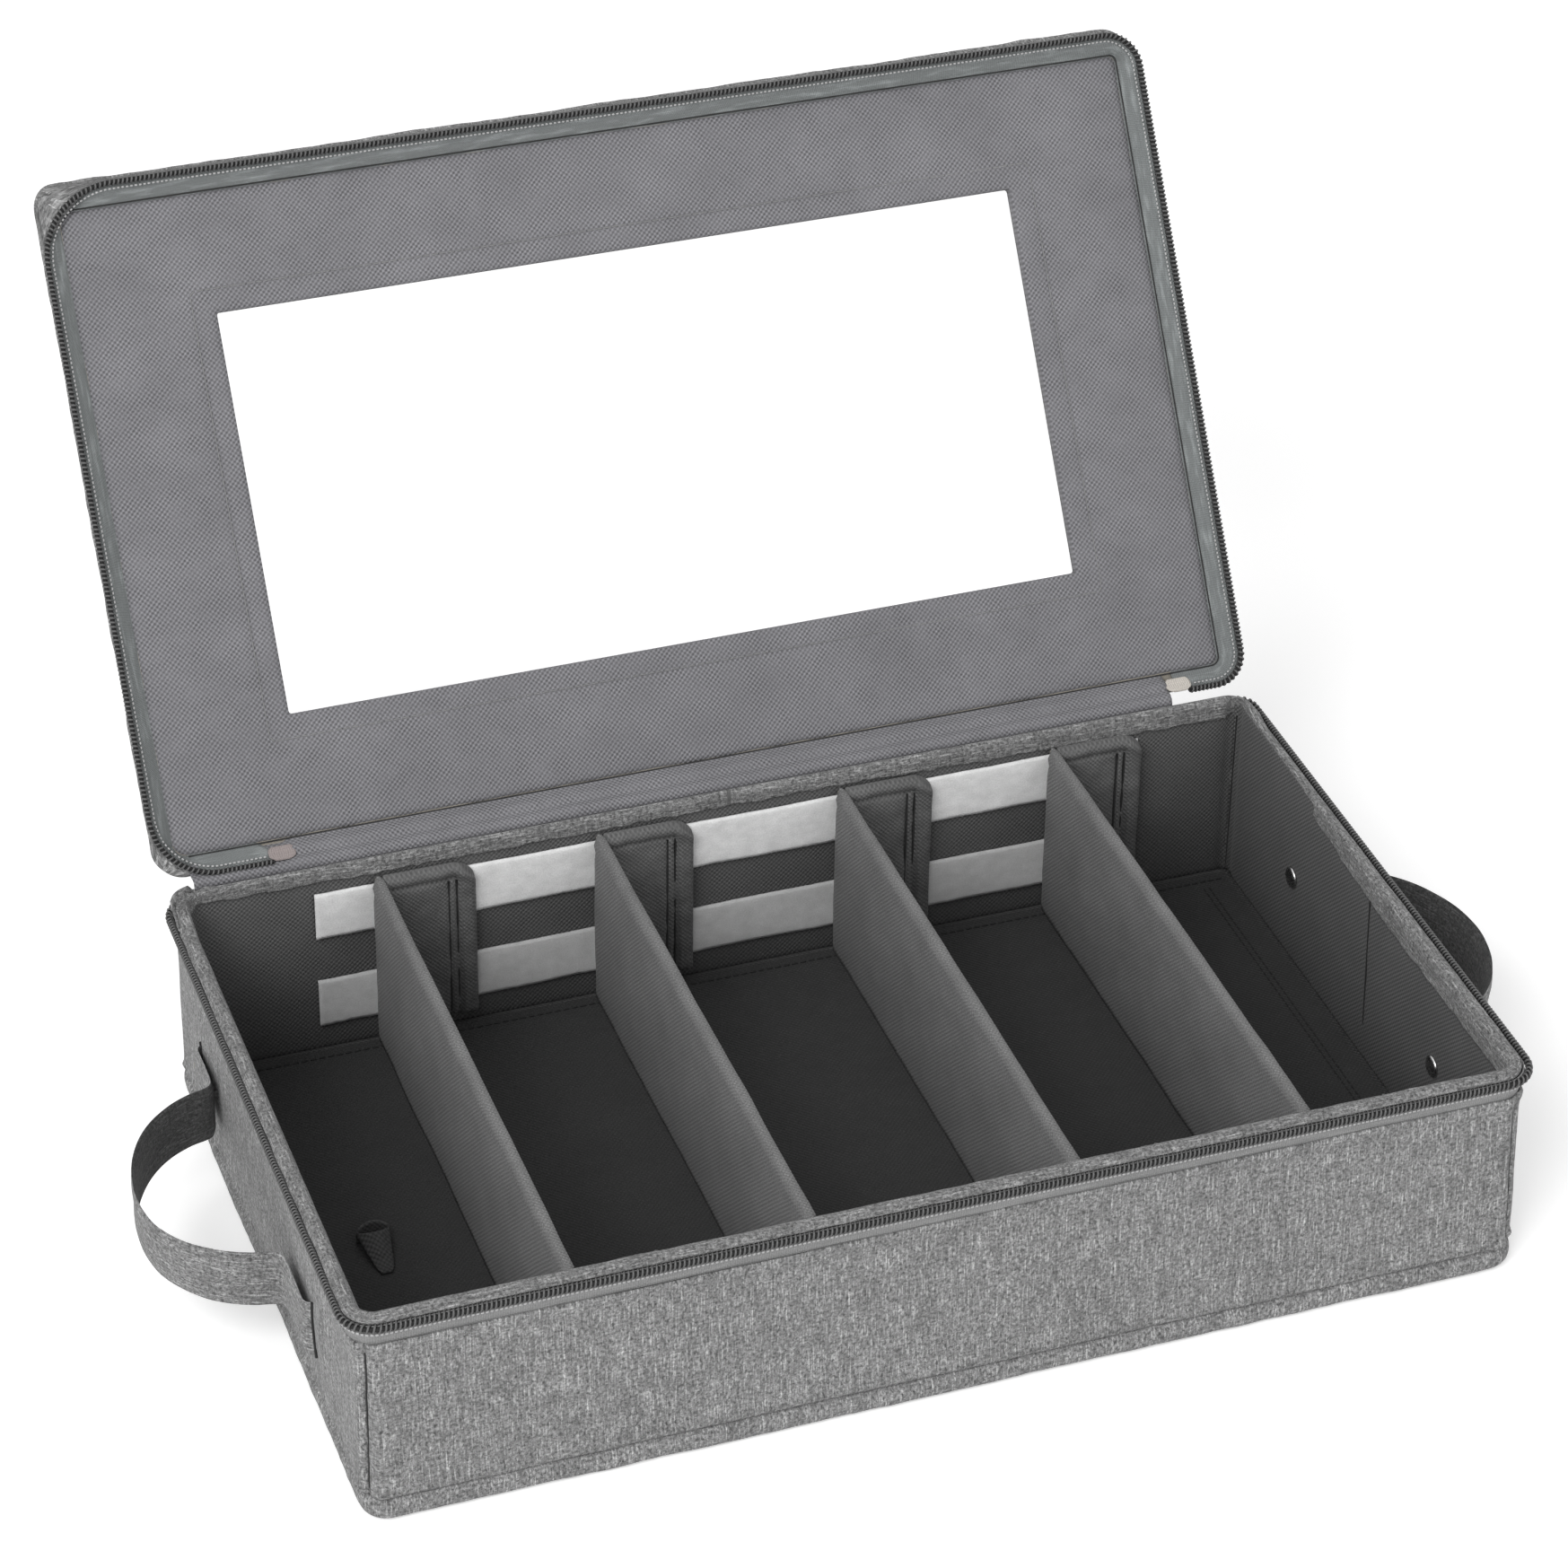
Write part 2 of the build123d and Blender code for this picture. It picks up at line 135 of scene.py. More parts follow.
slit_z, strap_z = 46.0, 40.0
tape_end_left, tape_end_right = 157.0, 175.0  # where the lid's zip tape stops beside the hinge
tooth_pitch = 1.53
coil_lift = 1.45  # half the height of a tooth
stitch_pitch = 3.2


# ---------------------------------------------------------------- plan of the walls
def stacked(*parts):
    """Points, or cloth coordinates, from coordinates that may differ in shape."""
    return np.stack(np.broadcast_arrays(*parts), -1)


class Outline:
    """Rounded rectangle in plan, walked from the middle of the back towards -X and on round.

    radii are those of the corners in that order: back left, front left, front right, back right.
    The back right corner is pinched outwards by pinch at its middle."""

    def __init__(self, half_w, half_d, radii, pinch=0.0):
        self.half_w, self.half_d, self.pinch = half_w, half_d, pinch
        bl, fl, fr, br = np.broadcast_to(np.asarray(radii, float), (4,))
        arc = math.pi / 2
        lengths = [half_w - bl, arc * bl, 2 * half_d - bl - fl, arc * fl, 2 * half_w - fl - fr,
                   arc * fr, 2 * half_d - fr - br, arc * br, half_w - br]
        self.knots = np.concatenate([[0], np.cumsum(lengths)])
        self.length = self.knots[-1]
        self.radii = np.array([bl, bl, bl, fl, fl, fr, fr, br, br, bl])
        self.side_w = np.array([0, -1, -1, -1, -1, 1, 1, 1, 1, 0])
        self.side_d = np.array([1, 1, 1, -1, -1, -1, -1, 1, 1, 1])
        self.angle = np.radians([90, 90, 180, 180, 270, 270, 360, 360, 450, 450])

    def at(self, s, out=0.0):
        """x, y and the outward direction, out beyond the outline at distance s along it."""
        s, out = np.broadcast_arrays(np.mod(s, self.length), out)
        leg = np.clip(np.searchsorted(self.knots, s, side="right") - 1, 0, 8)
        share = (s - self.knots[leg]) / (self.knots[leg + 1] - self.knots[leg])
        angle = self.angle[leg] + (self.angle[leg + 1] - self.angle[leg]) * share
        nx, ny = np.cos(angle), np.sin(angle)
        out = out + self.pinch * (leg == 7) * np.sin(np.pi * share) ** 2
        ends = []
        for k in (leg, leg + 1):
            radius = np.maximum(self.radii[k] + out, 1.0)
            x = self.side_w[k] * (self.half_w + out - radius) + nx * radius
            y = self.side_d[k] * (self.half_d + out - radius) + ny * radius
            ends.append((x, y))
        (x0, y0), (x1, y1) = ends
        return x0 + (x1 - x0) * share, y0 + (y1 - y0) * share, nx, ny

    def plan(self, s, out=0.0):
        """x and y only."""
        return self.at(s, out)[:2]

    def facing(self, s):
        """The outward direction only."""
        return self.at(s)[2:]

    def depth(self, x, y):
        """How far inside the outline points in plan lie."""
        left, back = x < 0, y > 0
        corners = [left & back, left & ~back, ~left & ~back]
        radius = np.select(corners, [self.radii[0], self.radii[3], self.radii[5]], self.radii[7])
        across, along = np.abs(x) - self.half_w + radius, np.abs(y) - self.half_d + radius
        past = np.hypot(np.maximum(across, 0), np.maximum(along, 0))
        return radius - past - np.minimum(np.maximum(across, along), 0)

    def points(self, s, out, z):
        """Points at distance s along the outline, out beyond it and z high."""
        s, out, z = np.broadcast_arrays(s, out, z)
        return stacked(*self.plan(s, out), z).astype(float)

    def steps(self, start, end, flat=3.0, curve=0.8):
        """Distances from start to end, closer together round the corners."""
        fine = np.arange(start, end, 0.25)
        turning = np.mod(np.searchsorted(self.knots, np.mod(fine, self.length)), 2) == 0
        density = np.where(turning, 1 / curve, 1 / flat)
        total = np.concatenate([[0], np.cumsum(density)]) * 0.25
        count = max(int(math.ceil(total[-1])), 4)
        fine = np.append(fine, end)
        return np.interp(np.linspace(0, total[-1], count + 1), total, fine)


wall = Outline(half_x, half_y, corner_r, pinch=2.0)
lid_rim = Outline(half_x, half_y, lid_corner_radii)
lid_edge = Outline(half_x, half_y, (9.0, 5.0, 9.0, 9.0))
lining_edge = Outline(half_x - lid_inset, half_y - lid_inset, lining_corner_radii)
window_line = Outline(window_x, window_y, 1.5)
back_left, left_start, left_end, front_start, front_end = wall.knots[1:6]
right_start, right_end, back_right = wall.knots[6:9]
seam_arc = corner_r * math.asin((corner_r - seam_in) / corner_r)


# ---------------------------------------------------------------- small numeric helpers
def ease(t):
    """Smooth step from 0 to 1, flat at both ends."""
    t = np.clip(t, 0, 1)
    return t * t * (3 - 2 * t)


def rise(s):
    """How much higher than elsewhere the rim stands, along the back wall and round its corners."""
    x, y = wall.plan(s)
    tall = back_rise + 1.0 * ease((-x - 140) / 12)
    return tall * ease((y - half_y + 26) / 24)


def corner_lift(x, y):
    """How much the lid's zip rises over the rim where its wide corners cut inside the walls."""
    return 1.9 * ease((wall.depth(x, y) - lid_rim.depth(x, y)) / 2)


def under_lid(x, y):
    """Height that the shut lid's zip, tape and skirt leave free over a point of the rim."""
    inward = lid_rim.depth(x, y) + coil_mid_out
    coil = lid_coil_z - coil_lift - 1.0
    slope = (lid_lining_low[2] + 0.3 - lid_tape_low) / (lid_inset + 1.5)
    tape = lid_tape_low + 0.3 + (inward - 0.7) * slope
    cover = lid_coil_z + 0.2
    inside = ease((inward - 1.5) / 0.7) * (tape - 1.9 - coil)
    outside = ease((-inward - 1.8) / 0.8) * (cover - coil)
    return coil + inside + outside + corner_lift(x, y)


def lining_over(s):
    """How far the right wall's lining wraps over the rim, from 0 at the front to 0.5 at the back."""
    _, y, nx, _ = wall.at(s)
    return 0.5 * ease(nx) * ease((y + 30) / 120)


def direction_of(move, axis):
    """Where a rigid move turns a direction."""
    return move(axis) - move(np.zeros(3))


lid_down = direction_of(opened, np.array([0, 0, -1.0]))  # the way the open lid's lining faces


def matched(s, one, other):
    """The distance along another outline that answers to s along one."""
    return np.interp(s, one.knots, other.knots)


def hump(distance, width):
    """Smooth bump of height 1 at distance 0."""
    return np.exp(-(distance / width) ** 2)


def rounded(distance, radius):
    """Share of the full height at a distance inside an edge that is rounded to a radius."""
    return np.sqrt(np.clip(1 - (1 - np.clip(distance / radius, 0, 1)) ** 2, 0, 1))


def ripple(a, b, size_a, size_b, seed):
    """Soft noise between about -1 and 1 over a surface with coordinates a and b."""
    a, b = np.broadcast_arrays(a, b)
    flat = zip((a / size_a).ravel(), (b / size_b).ravel())
    values = [noise.fractal((p, q, seed * 7.31), 1.0, 2.0, 2) for p, q in flat]
    return np.array(values).reshape(a.shape)


def wobble(a, size, seed):
    """Soft noise between about -1 and 1 along a line."""
    return ripple(a, 0 * a, size, 1, seed)


def curve_through(points, step):
    """Catmull-Rom curve through points, resampled evenly."""
    p = np.asarray(points, float)
    p = np.concatenate([[2 * p[0] - p[1]], p, [2 * p[-1] - p[-2]]])
    fine = []
    for a, b, c, d in zip(p[:-3], p[1:-2], p[2:-1], p[3:]):
        t = np.linspace(0, 1, 24, endpoint=False)[:, None]
        fine.append(0.5 * (2 * b + (c - a) * t + (2 * a - 5 * b + 4 * c - d) * t ** 2
                           + (3 * b - a - 3 * c + d) * t ** 3))
    fine = np.concatenate(fine + [p[-2][None]])
    run = np.concatenate([[0], np.cumsum(np.linalg.norm(np.diff(fine, axis=0), axis=1))])
    count = max(int(run[-1] / step), 2)
    at = np.linspace(0, run[-1], count + 1)
    return np.stack([np.interp(at, run, fine[:, k]) for k in range(p.shape[1])], -1)


def run_length(path):
    """Distance along a path up to each of its points."""
    legs = np.linalg.norm(np.diff(path, axis=0), axis=1)
    return np.concatenate([[0], np.cumsum(legs)])


# ---------------------------------------------------------------- mesh helpers
def quads(rows, columns, wrap_rows=False, wrap_columns=False):
    """Faces of a grid of rows x columns points."""
    i = np.arange(rows if wrap_rows else rows - 1)
    j = np.arange(columns if wrap_columns else columns - 1)
    i, j = np.meshgrid(i, j, indexing="ij")
    i2, j2 = (i + 1) % rows, (j + 1) % columns
    corners = [i * columns + j, i2 * columns + j, i2 * columns + j2, i * columns + j2]
    return np.stack(corners, -1).reshape(-1, 4)


def volume(points, faces):
    """Signed volume inside the faces, below zero where they face inwards."""
    a = points[faces[:, 0]]
    total = 0.0
    for k in range(1, faces.shape[1] - 1):
        total += np.einsum("ij,ij->i", a, np.cross(points[faces[:, k]], points[faces[:, k + 1]])).sum()
    return total / 6


def facing_out(points, faces):
    """The faces, turned round if they face inwards."""
    return faces[:, ::-1] if volume(points, faces) < 0 else faces


def link(name, data):
    """A new object in the scene."""
    made = bpy.data.objects.new(name, data)
    bpy.context.scene.collection.objects.link(made)
    return made


def mesh_object(name, points, faces, uv, materials, index=None):
    """A smooth mesh piece from millimetre points; uv is per point, also in millimetres."""
    mesh = bpy.data.meshes.new(name)
    mesh.from_pydata((points * MM).tolist(), [], [list(map(int, f)) for f in faces])
    layer = mesh.uv_layers.new(name="cloth")
    loops = np.zeros(len(mesh.loops), np.int32)
    mesh.loops.foreach_get("vertex_index", loops)
    layer.data.foreach_set("uv", uv[loops].astype(np.float32).ravel())
    for material in materials:
        mesh.materials.append(material)
    if index is not None:
        mesh.polygons.foreach_set("material_index", np.asarray(index, np.int32))
    mesh.polygons.foreach_set("use_smooth", [True] * len(mesh.polygons))
    mesh.update()
    return link(name, mesh)


def grid_normals(grid, wrap):
    """Direction across a grid of points, along its first index crossed with its second."""
    if wrap:
        along = np.roll(grid, -1, 0) - np.roll(grid, 1, 0)
    else:
        along = np.gradient(grid, axis=0)
    across = np.gradient(grid, axis=1)
    normal = np.cross(along, across)
    return normal / np.maximum(np.linalg.norm(normal, axis=-1, keepdims=True), 1e-9)


def strip(edge, count, wrap=False):
    """Faces that join a run of shown points to the same points of the far face."""
    near = np.append(edge, edge[0]) if wrap else edge
    return np.stack([near[:-1], near[:-1] + count, near[1:] + count, near[1:]], -1)


def two_faced(name, front, rear, uv, materials, wrap=False, capped=False):
    """A closed sheet from the grids of its shown face and of the face behind it.

    A capped one wraps round, and one face each closes the ring at its start."""
    rows, columns = front.shape[:2]
    count = rows * columns
    points = np.concatenate([front.reshape(-1, 3), rear.reshape(-1, 3)])
    shown = quads(rows, columns, wrap)
    start, side = np.arange(rows) * columns, np.arange(columns)
    rims = [] if capped else [strip(start, count, wrap)]
    rims.append(strip(start + columns - 1, count, wrap)[:, ::-1])
    if not wrap:
        rims += [strip(side, count)[:, ::-1], strip(side + (rows - 1) * columns, count)]
    faces = list(facing_out(points, np.concatenate([shown, shown[:, ::-1] + count, *rims])))
    if capped:
        faces += [start, (start + count)[::-1]]
    return mesh_object(name, points, faces, np.concatenate([uv.reshape(-1, 2)] * 2), materials)


def cloth(name, grid, uv, thickness, materials, wrap=False, flip=False):
    """A closed sheet: the grid is its shown face and the other face lies thickness behind it."""
    normal = grid_normals(grid, wrap) * (-1 if flip else 1)
    return two_faced(name, grid, grid - normal * thickness, uv, materials, wrap)


def tube(name, grid, uv, materials, wrap=False, index=None):
    """A closed solid from rings of points: first index along it, second round it."""
    rows, columns = grid.shape[:2]
    points = grid.reshape(-1, 3)
    faces = quads(rows, columns, wrap, True)
    flip = volume(points, faces) < 0
    faces = faces[:, ::-1] if flip else faces
    faces = [list(f) for f in faces]
    numbers = list(np.zeros(len(faces), int) if index is None else index.ravel())
    if not wrap:
        first = list(range(columns))
        last = [(rows - 1) * columns + k for k in range(columns)]
        faces += [first, last[::-1]] if flip else [first[::-1], last]
        numbers += [0, 0]
    return mesh_object(name, points, faces, uv.reshape(-1, 2), materials, numbers)


def frames(path, up):
    """Unit directions across a path at each of its points, the second nearest to up."""
    ahead = np.gradient(path, axis=0)
    ahead /= np.maximum(np.linalg.norm(ahead, axis=1, keepdims=True), 1e-9)
    side = np.cross(ahead, up)
    side /= np.maximum(np.linalg.norm(side, axis=1, keepdims=True), 1e-9)
    return side, np.cross(side, ahead)


def cord_grid(path, up, radius, sides):
    """Rings of points round a path."""
    side, over = frames(path, up)
    turn = np.arange(sides) / sides * 2 * math.pi
    ring = side[:, None] * np.cos(turn)[None, :, None] + over[:, None] * np.sin(turn)[None, :, None]
    return path[:, None] + ring * np.reshape(radius, (-1, 1, 1))


def rod_faces(rings, sides, start=0):
    """Faces of a closed rod made of rings of points, numbered from start."""
    last = start + (rings - 1) * sides
    around = [list(f) for f in quads(rings, sides, False, True) + start]
    return around + [[start + k for k in range(sides)][::-1], [last + k for k in range(sides)]]


def rods(name, spines, material, sides=6):
    """One mesh of thin closed rods, each laid along a spine (points, upward direction, radius)."""
    points, faces, total = [], [], 0
    for spine, up, radius in spines:
        points.append(cord_grid(spine, up, radius, sides).reshape(-1, 3))
        faces += rod_faces(len(spine), sides, total)
        total += len(spine) * sides
    points = np.concatenate(points)
    return mesh_object(name, points, faces, points[:, [0, 2]], [material])


def cord(name, paths, material, radius, body):
    """A thin continuous thread laid along each path (points, upward direction)."""
    return place(rods(name, [(path, up, radius) for path, up in paths], material), body)


def stitches(name, paths, material, body, pitch=stitch_pitch, share=0.72, radius=0.28):
    """A row of short thread stitches along each path (points, upward direction)."""
    shape = np.array([[0.0, 0.45], [0.14, 1.0], [0.86, 1.0], [1.0, 0.45]])  # share of length, of radius
    spines = []
    for path, up in paths:
        run = run_length(path)
        for start in np.arange(pitch * 0.2, run[-1] - pitch * share, pitch):
            at = start + shape[:, 0] * pitch * share
            spine = stacked(*[np.interp(at, run, path[:, k]) for k in range(3)])
            spines.append((spine, up, shape[:, 1] * radius))
    return place(rods(name, spines, material), body)


# ---------------------------------------------------------------- material helpers
WHITE = (1.0, 1.0, 1.0, 1.0)


def shade(value, tint=(1.0, 1.0, 1.0)):
    """Linear colour of a grey written from 0 to 255, with a slight tint."""
    def linear(c):
        c = min(max(c / 255, 0), 1)
        return c / 12.92 if c <= 0.04045 else ((c + 0.055) / 1.055) ** 2.4
    return (*[linear(value * t) for t in tint], 1.0)


class Nodes:
    """Builds the node tree of a material or of the surroundings."""

    def __init__(self, owner):
        owner.use_nodes = True
        self.tree = owner.node_tree
        self.tree.nodes.clear()

    def add(self, kind, inputs=None, output=0, **settings):
        """A node's output; an input is a value or another node's output."""
        made = self.tree.nodes.new(kind)
        for key, value in settings.items():
            setattr(made, key, value)
        for key, value in (inputs or {}).items():
            if isinstance(value, bpy.types.NodeSocket):
                self.tree.links.new(value, made.inputs[key])
            else:
                made.inputs[key].default_value = value
        return made.outputs[output] if made.outputs else made

    def math(self, operation, a, b=0.0):
        return self.add("ShaderNodeMath", {0: a, 1: b}, operation=operation)

    def times(self, a, b):
        return self.math("MULTIPLY", a, b)

    def plus(self, a, b):
        return self.math("ADD", a, b)


class Paint(Nodes):
    """Builds one material."""

    def __init__(self, name):
        self.material = bpy.data.materials.new(name)
        super().__init__(self.material)

    def uv(self, scale_u, scale_v):
        """Cloth coordinates, one unit per scale millimetres."""
        where = self.add("ShaderNodeUVMap", uv_map="cloth")
        scale = (1 / scale_u, 1 / scale_v, 1.0)
        return self.add("ShaderNodeVectorMath", {0: where, 1: scale}, operation="MULTIPLY")

    def place(self, size):
        """Object coordinates, one unit per size millimetres."""
        where = self.add("ShaderNodeTexCoord", output="Object")
        return self.add("ShaderNodeVectorMath", {0: where, "Scale": 1 / (size * MM)}, operation="SCALE")

    def parts(self, vector):
        """The three numbers of a vector."""
        return self.add("ShaderNodeSeparateXYZ", {0: vector}).node.outputs

    def noise(self, vector, detail=2.0, rough=0.5):
        inputs = {"Vector": vector, "Scale": 1.0, "Detail": detail, "Roughness": rough}
        return self.add("ShaderNodeTexNoise", inputs, output="Fac")

    def span(self, value, low, high, to_low=0.0, to_high=1.0):
        """The value stretched from low..high to to_low..to_high."""
        inputs = {"Value": value, "From Min": low, "From Max": high, "To Min": to_low, "To Max": to_high}
        return self.add("ShaderNodeMapRange", inputs)

    def flecks(self, long_u, long_v, detail, rough, *span):
        """Noise with flecks long_u by long_v millimetres over the cloth, stretched by span."""
        return self.span(self.noise(self.uv(long_u, long_v), detail, rough), *span)

    def mix(self, share, a, b, blend="MIX"):
        inputs = {0: share, 6: a, 7: b}
        return self.add("ShaderNodeMix", inputs, output=2, data_type="RGBA", blend_type=blend)

    def toned(self, colour, tone):
        """The colour made lighter or darker by a tone about 1."""
        return self.mix(1.0, colour, tone, "MULTIPLY")

    def waves(self, pitch_u, pitch_v):
        """Sine waves across both cloth directions, as a plain weave's threads give."""
        u, v, _ = self.parts(self.uv(pitch_u / math.tau, pitch_v / math.tau))
        return self.math("SINE", u), self.math("SINE", v)

    def diagonal(self, pitch):
        """Sine waves along both diagonals of the cloth."""
        scale = pitch / math.tau * math.sqrt(2)
        u, v, _ = self.parts(self.uv(scale, scale))
        return self.math("SINE", self.plus(u, v)), self.math("SINE", self.math("SUBTRACT", u, v))

    def finish(self, colour, roughness=0.85, height=None, depth=0.1, sheen=0.0, metallic=0.0):
        """The finished material; height raises its surface by up to depth millimetres."""
        inputs = {"Base Color": colour, "Roughness": roughness, "Metallic": metallic, "Sheen Weight": sheen}
        if height is not None:
            relief = {"Height": height, "Strength": 1.0, "Distance": depth * MM}
            inputs["Normal"] = self.add("ShaderNodeBump", relief)
        surface = self.add("ShaderNodeBsdfPrincipled", inputs)
        self.add("ShaderNodeOutputMaterial", {"Surface": surface})
        return self.material


# ---------------------------------------------------------------- materials
def heather(name, level=1.0):
    """Linen-look cloth: mid grey with paler slubs up the wall, a few across and dark specks."""
    paint = Paint(name)
    grain = paint.flecks(1.0, 1.2, 3.0, 0.8, 0.36, 0.64, 0.42, 1.58)
    slub = paint.flecks(0.75, 6.0, 2.0, 0.6, 0.50, 0.70)
    thin = paint.flecks(0.5, 11.0, 2.0, 0.5, 0.58, 0.70)
    cross = paint.flecks(7.0, 0.7, 2.0, 0.6, 0.54, 0.70)
    speck = paint.flecks(1.0, 1.7, 2.0, 0.6, 0.54, 0.68)
    columns = paint.flecks(2.0, 30.0, 3.0, 0.65, 0.32, 0.68, 0.84, 1.16)
    rows = paint.flecks(34.0, 2.2, 3.0, 0.6, 0.32, 0.68, 0.94, 1.06)
    cloud = paint.flecks(34.0, 50.0, 2.0, 0.5, 0.3, 0.7, 0.96, 1.04)
    blotch = paint.flecks(6.0, 9.0, 3.0, 0.7, 0.3, 0.7, 0.82, 1.18)
    weave = paint.times(*paint.waves(weave_pitch, weave_pitch))
    colour = shade(120 * level)
    for share, spots, value in ((0.6, slub, 184), (0.7, thin, 196), (0.45, cross, 166), (0.8, speck, 68)):
        colour = paint.mix(paint.times(spots, share), colour, shade(value * level))
    tone = paint.times(paint.times(cloud, blotch), paint.span(weave, -1, 1, 0.90, 1.08))
    tone = paint.times(tone, paint.times(columns, rows))
    colour = paint.toned(colour, paint.times(tone, grain))
    height = paint.plus(paint.plus(paint.times(weave, 0.35), slub), grain)
    height = paint.math("SUBTRACT", height, paint.times(speck, 0.4))
    return paint.finish(colour, 0.9, height, 0.10, sheen=0.1)


def embossed(name, value, tint=(1.0, 1.0, 1.0), pitch=1.32, mottling=0.10, contrast=0.44, low=1.0,
             grain=0.16):
    """Non-woven cloth with a fine diagonal grid pressed into it; where low is under 1 it is painted darker
    towards the bottom and lighter towards the top, painted shade and painted light of the deep box.
    """
    paint = Paint(name)
    first, second = paint.diagonal(pitch)
    worn = paint.flecks(8.0, 6.0, 3.0, 0.6, 0.32, 0.66, 0.5, 1.0)
    grid = paint.times(paint.plus(first, paint.times(second, 0.75)), worn)
    fibres = paint.noise(paint.uv(0.6, 0.6), 3.0, 0.7)
    cloud = paint.flecks(30.0, 24.0, 4.0, 0.6, 0.32, 0.68, 1 - mottling, 1 + mottling)
    tone = paint.times(cloud, paint.span(grid, -1.75, 1.75, 1 - contrast, 1 + contrast))
    tone = paint.times(tone, paint.span(fibres, 0.3, 0.7, 1 - grain, 1 + grain))
    # Painted shade low down and painted light high up: the tone runs from low at the bottom to 2 - low near
    # the rim.
    if low < 1:
        height = paint.parts(paint.place(rim_z))[2]
        tone = paint.times(tone, paint.span(height, 0.05, 0.98, low, 2 - low))
    colour = paint.toned(shade(value, tint), tone)
    return paint.finish(colour, 0.8, paint.plus(grid, paint.times(fibres, 0.6)), 0.09, sheen=0.08)


def plain_cloth(name, value):
    """Back or hidden faces of cloth: soft fibres with no pattern."""
    paint = Paint(name)
    fibres = paint.noise(paint.place(0.8), 4.0, 0.7)
    cloud = paint.span(paint.noise(paint.place(18.0), 3.0), 0.3, 0.7, 0.93, 1.07)
    tone = paint.times(paint.span(fibres, 0.3, 0.7, 0.84, 1.16), cloud)
    return paint.finish(paint.toned(shade(value), tone), 0.9, fibres, 0.08)


def zip_cloth(name, value, tint, worn):
    """Herringbone zip tape with paler rubbed patches."""
    paint = Paint(name)
    warp, weft = paint.waves(0.8, 0.6)
    fibres = paint.flecks(0.6, 0.35, 2.0, 0.5, 0.3, 0.7, 0.88, 1.12)
    patches = paint.flecks(11.0, 2.2, 3.0, 0.5, 0.5, 0.72, 0.0, worn)
    threads = paint.flecks(14.0, 0.5, 2.0, 0.5, 0.3, 0.7, 0.90, 1.10)
    colour = paint.mix(patches, shade(value, tint), shade(value + 34, tint))
    tone = paint.span(paint.plus(warp, paint.times(weft, 0.5)), -1.5, 1.5, 0.86, 1.10)
    tone = paint.times(paint.times(tone, fibres), threads)
    return paint.finish(paint.toned(colour, tone), 0.75, paint.plus(warp, weft), 0.05)


def plastic(name, value, rough):
    """Moulded zip teeth, thread and the like."""
    paint = Paint(name)
    cloud = paint.span(paint.noise(paint.place(3.0), 2.0), 0.3, 0.7, 0.94, 1.06)
    gloss = paint.span(cloud, 0.9, 1.1, rough - 0.05, rough + 0.05)
    return paint.finish(paint.toned(shade(value), cloud), gloss)


def felt(name, value):
    """Loop tape: short curled fibres, pale and mottled."""
    paint = Paint(name)
    curls = paint.noise(paint.uv(0.6, 0.6), 4.0, 0.75)
    cloud = paint.flecks(5.0, 4.0, 3.0, 0.5, 0.3, 0.7, 0.9, 1.06)
    tone = paint.times(paint.span(curls, 0.3, 0.7, 0.82, 1.08), cloud)
    return paint.finish(paint.toned(shade(value), tone), 0.95, curls, 0.3, sheen=0.4)


def paperboard(name):
    """Grey-brown board with fine fibres."""
    paint = Paint(name)
    tint = (1.04, 1.0, 0.93)
    fibres = paint.noise(paint.place(1.2), 4.0, 0.7)
    cloud = paint.span(paint.noise(paint.place(22.0), 2.0), 0.3, 0.7, 0.92, 1.06)
    colour = paint.mix(fibres, shade(122, tint), shade(150, tint))
    return paint.finish(paint.toned(colour, cloud), 0.9, fibres, 0.05)


def metal(name, value, rough):
    """Plated metal, a little uneven."""
    paint = Paint(name)
    wear = paint.noise(paint.place(2.0), 3.0)
    colour = paint.mix(wear, shade(value), shade(value + 22))
    return paint.finish(colour, paint.span(wear, 0.3, 0.7, rough, rough + 0.12), metallic=1.0)


def clear_film(name):
    """Thin clear vinyl: mostly see-through, with a faint gloss."""
    paint = Paint(name)
    share = paint.span(paint.noise(paint.place(60.0), 2.0), 0.3, 0.7, 0.015, 0.03)
    gloss = paint.add("ShaderNodeBsdfGlossy", {"Color": WHITE, "Roughness": 0.12})
    clear = paint.add("ShaderNodeBsdfTransparent", {"Color": WHITE})
    surface = paint.add("ShaderNodeMixShader", {0: share, 1: clear, 2: gloss})
    paint.add("ShaderNodeOutputMaterial", {"Surface": surface})
    return paint.material


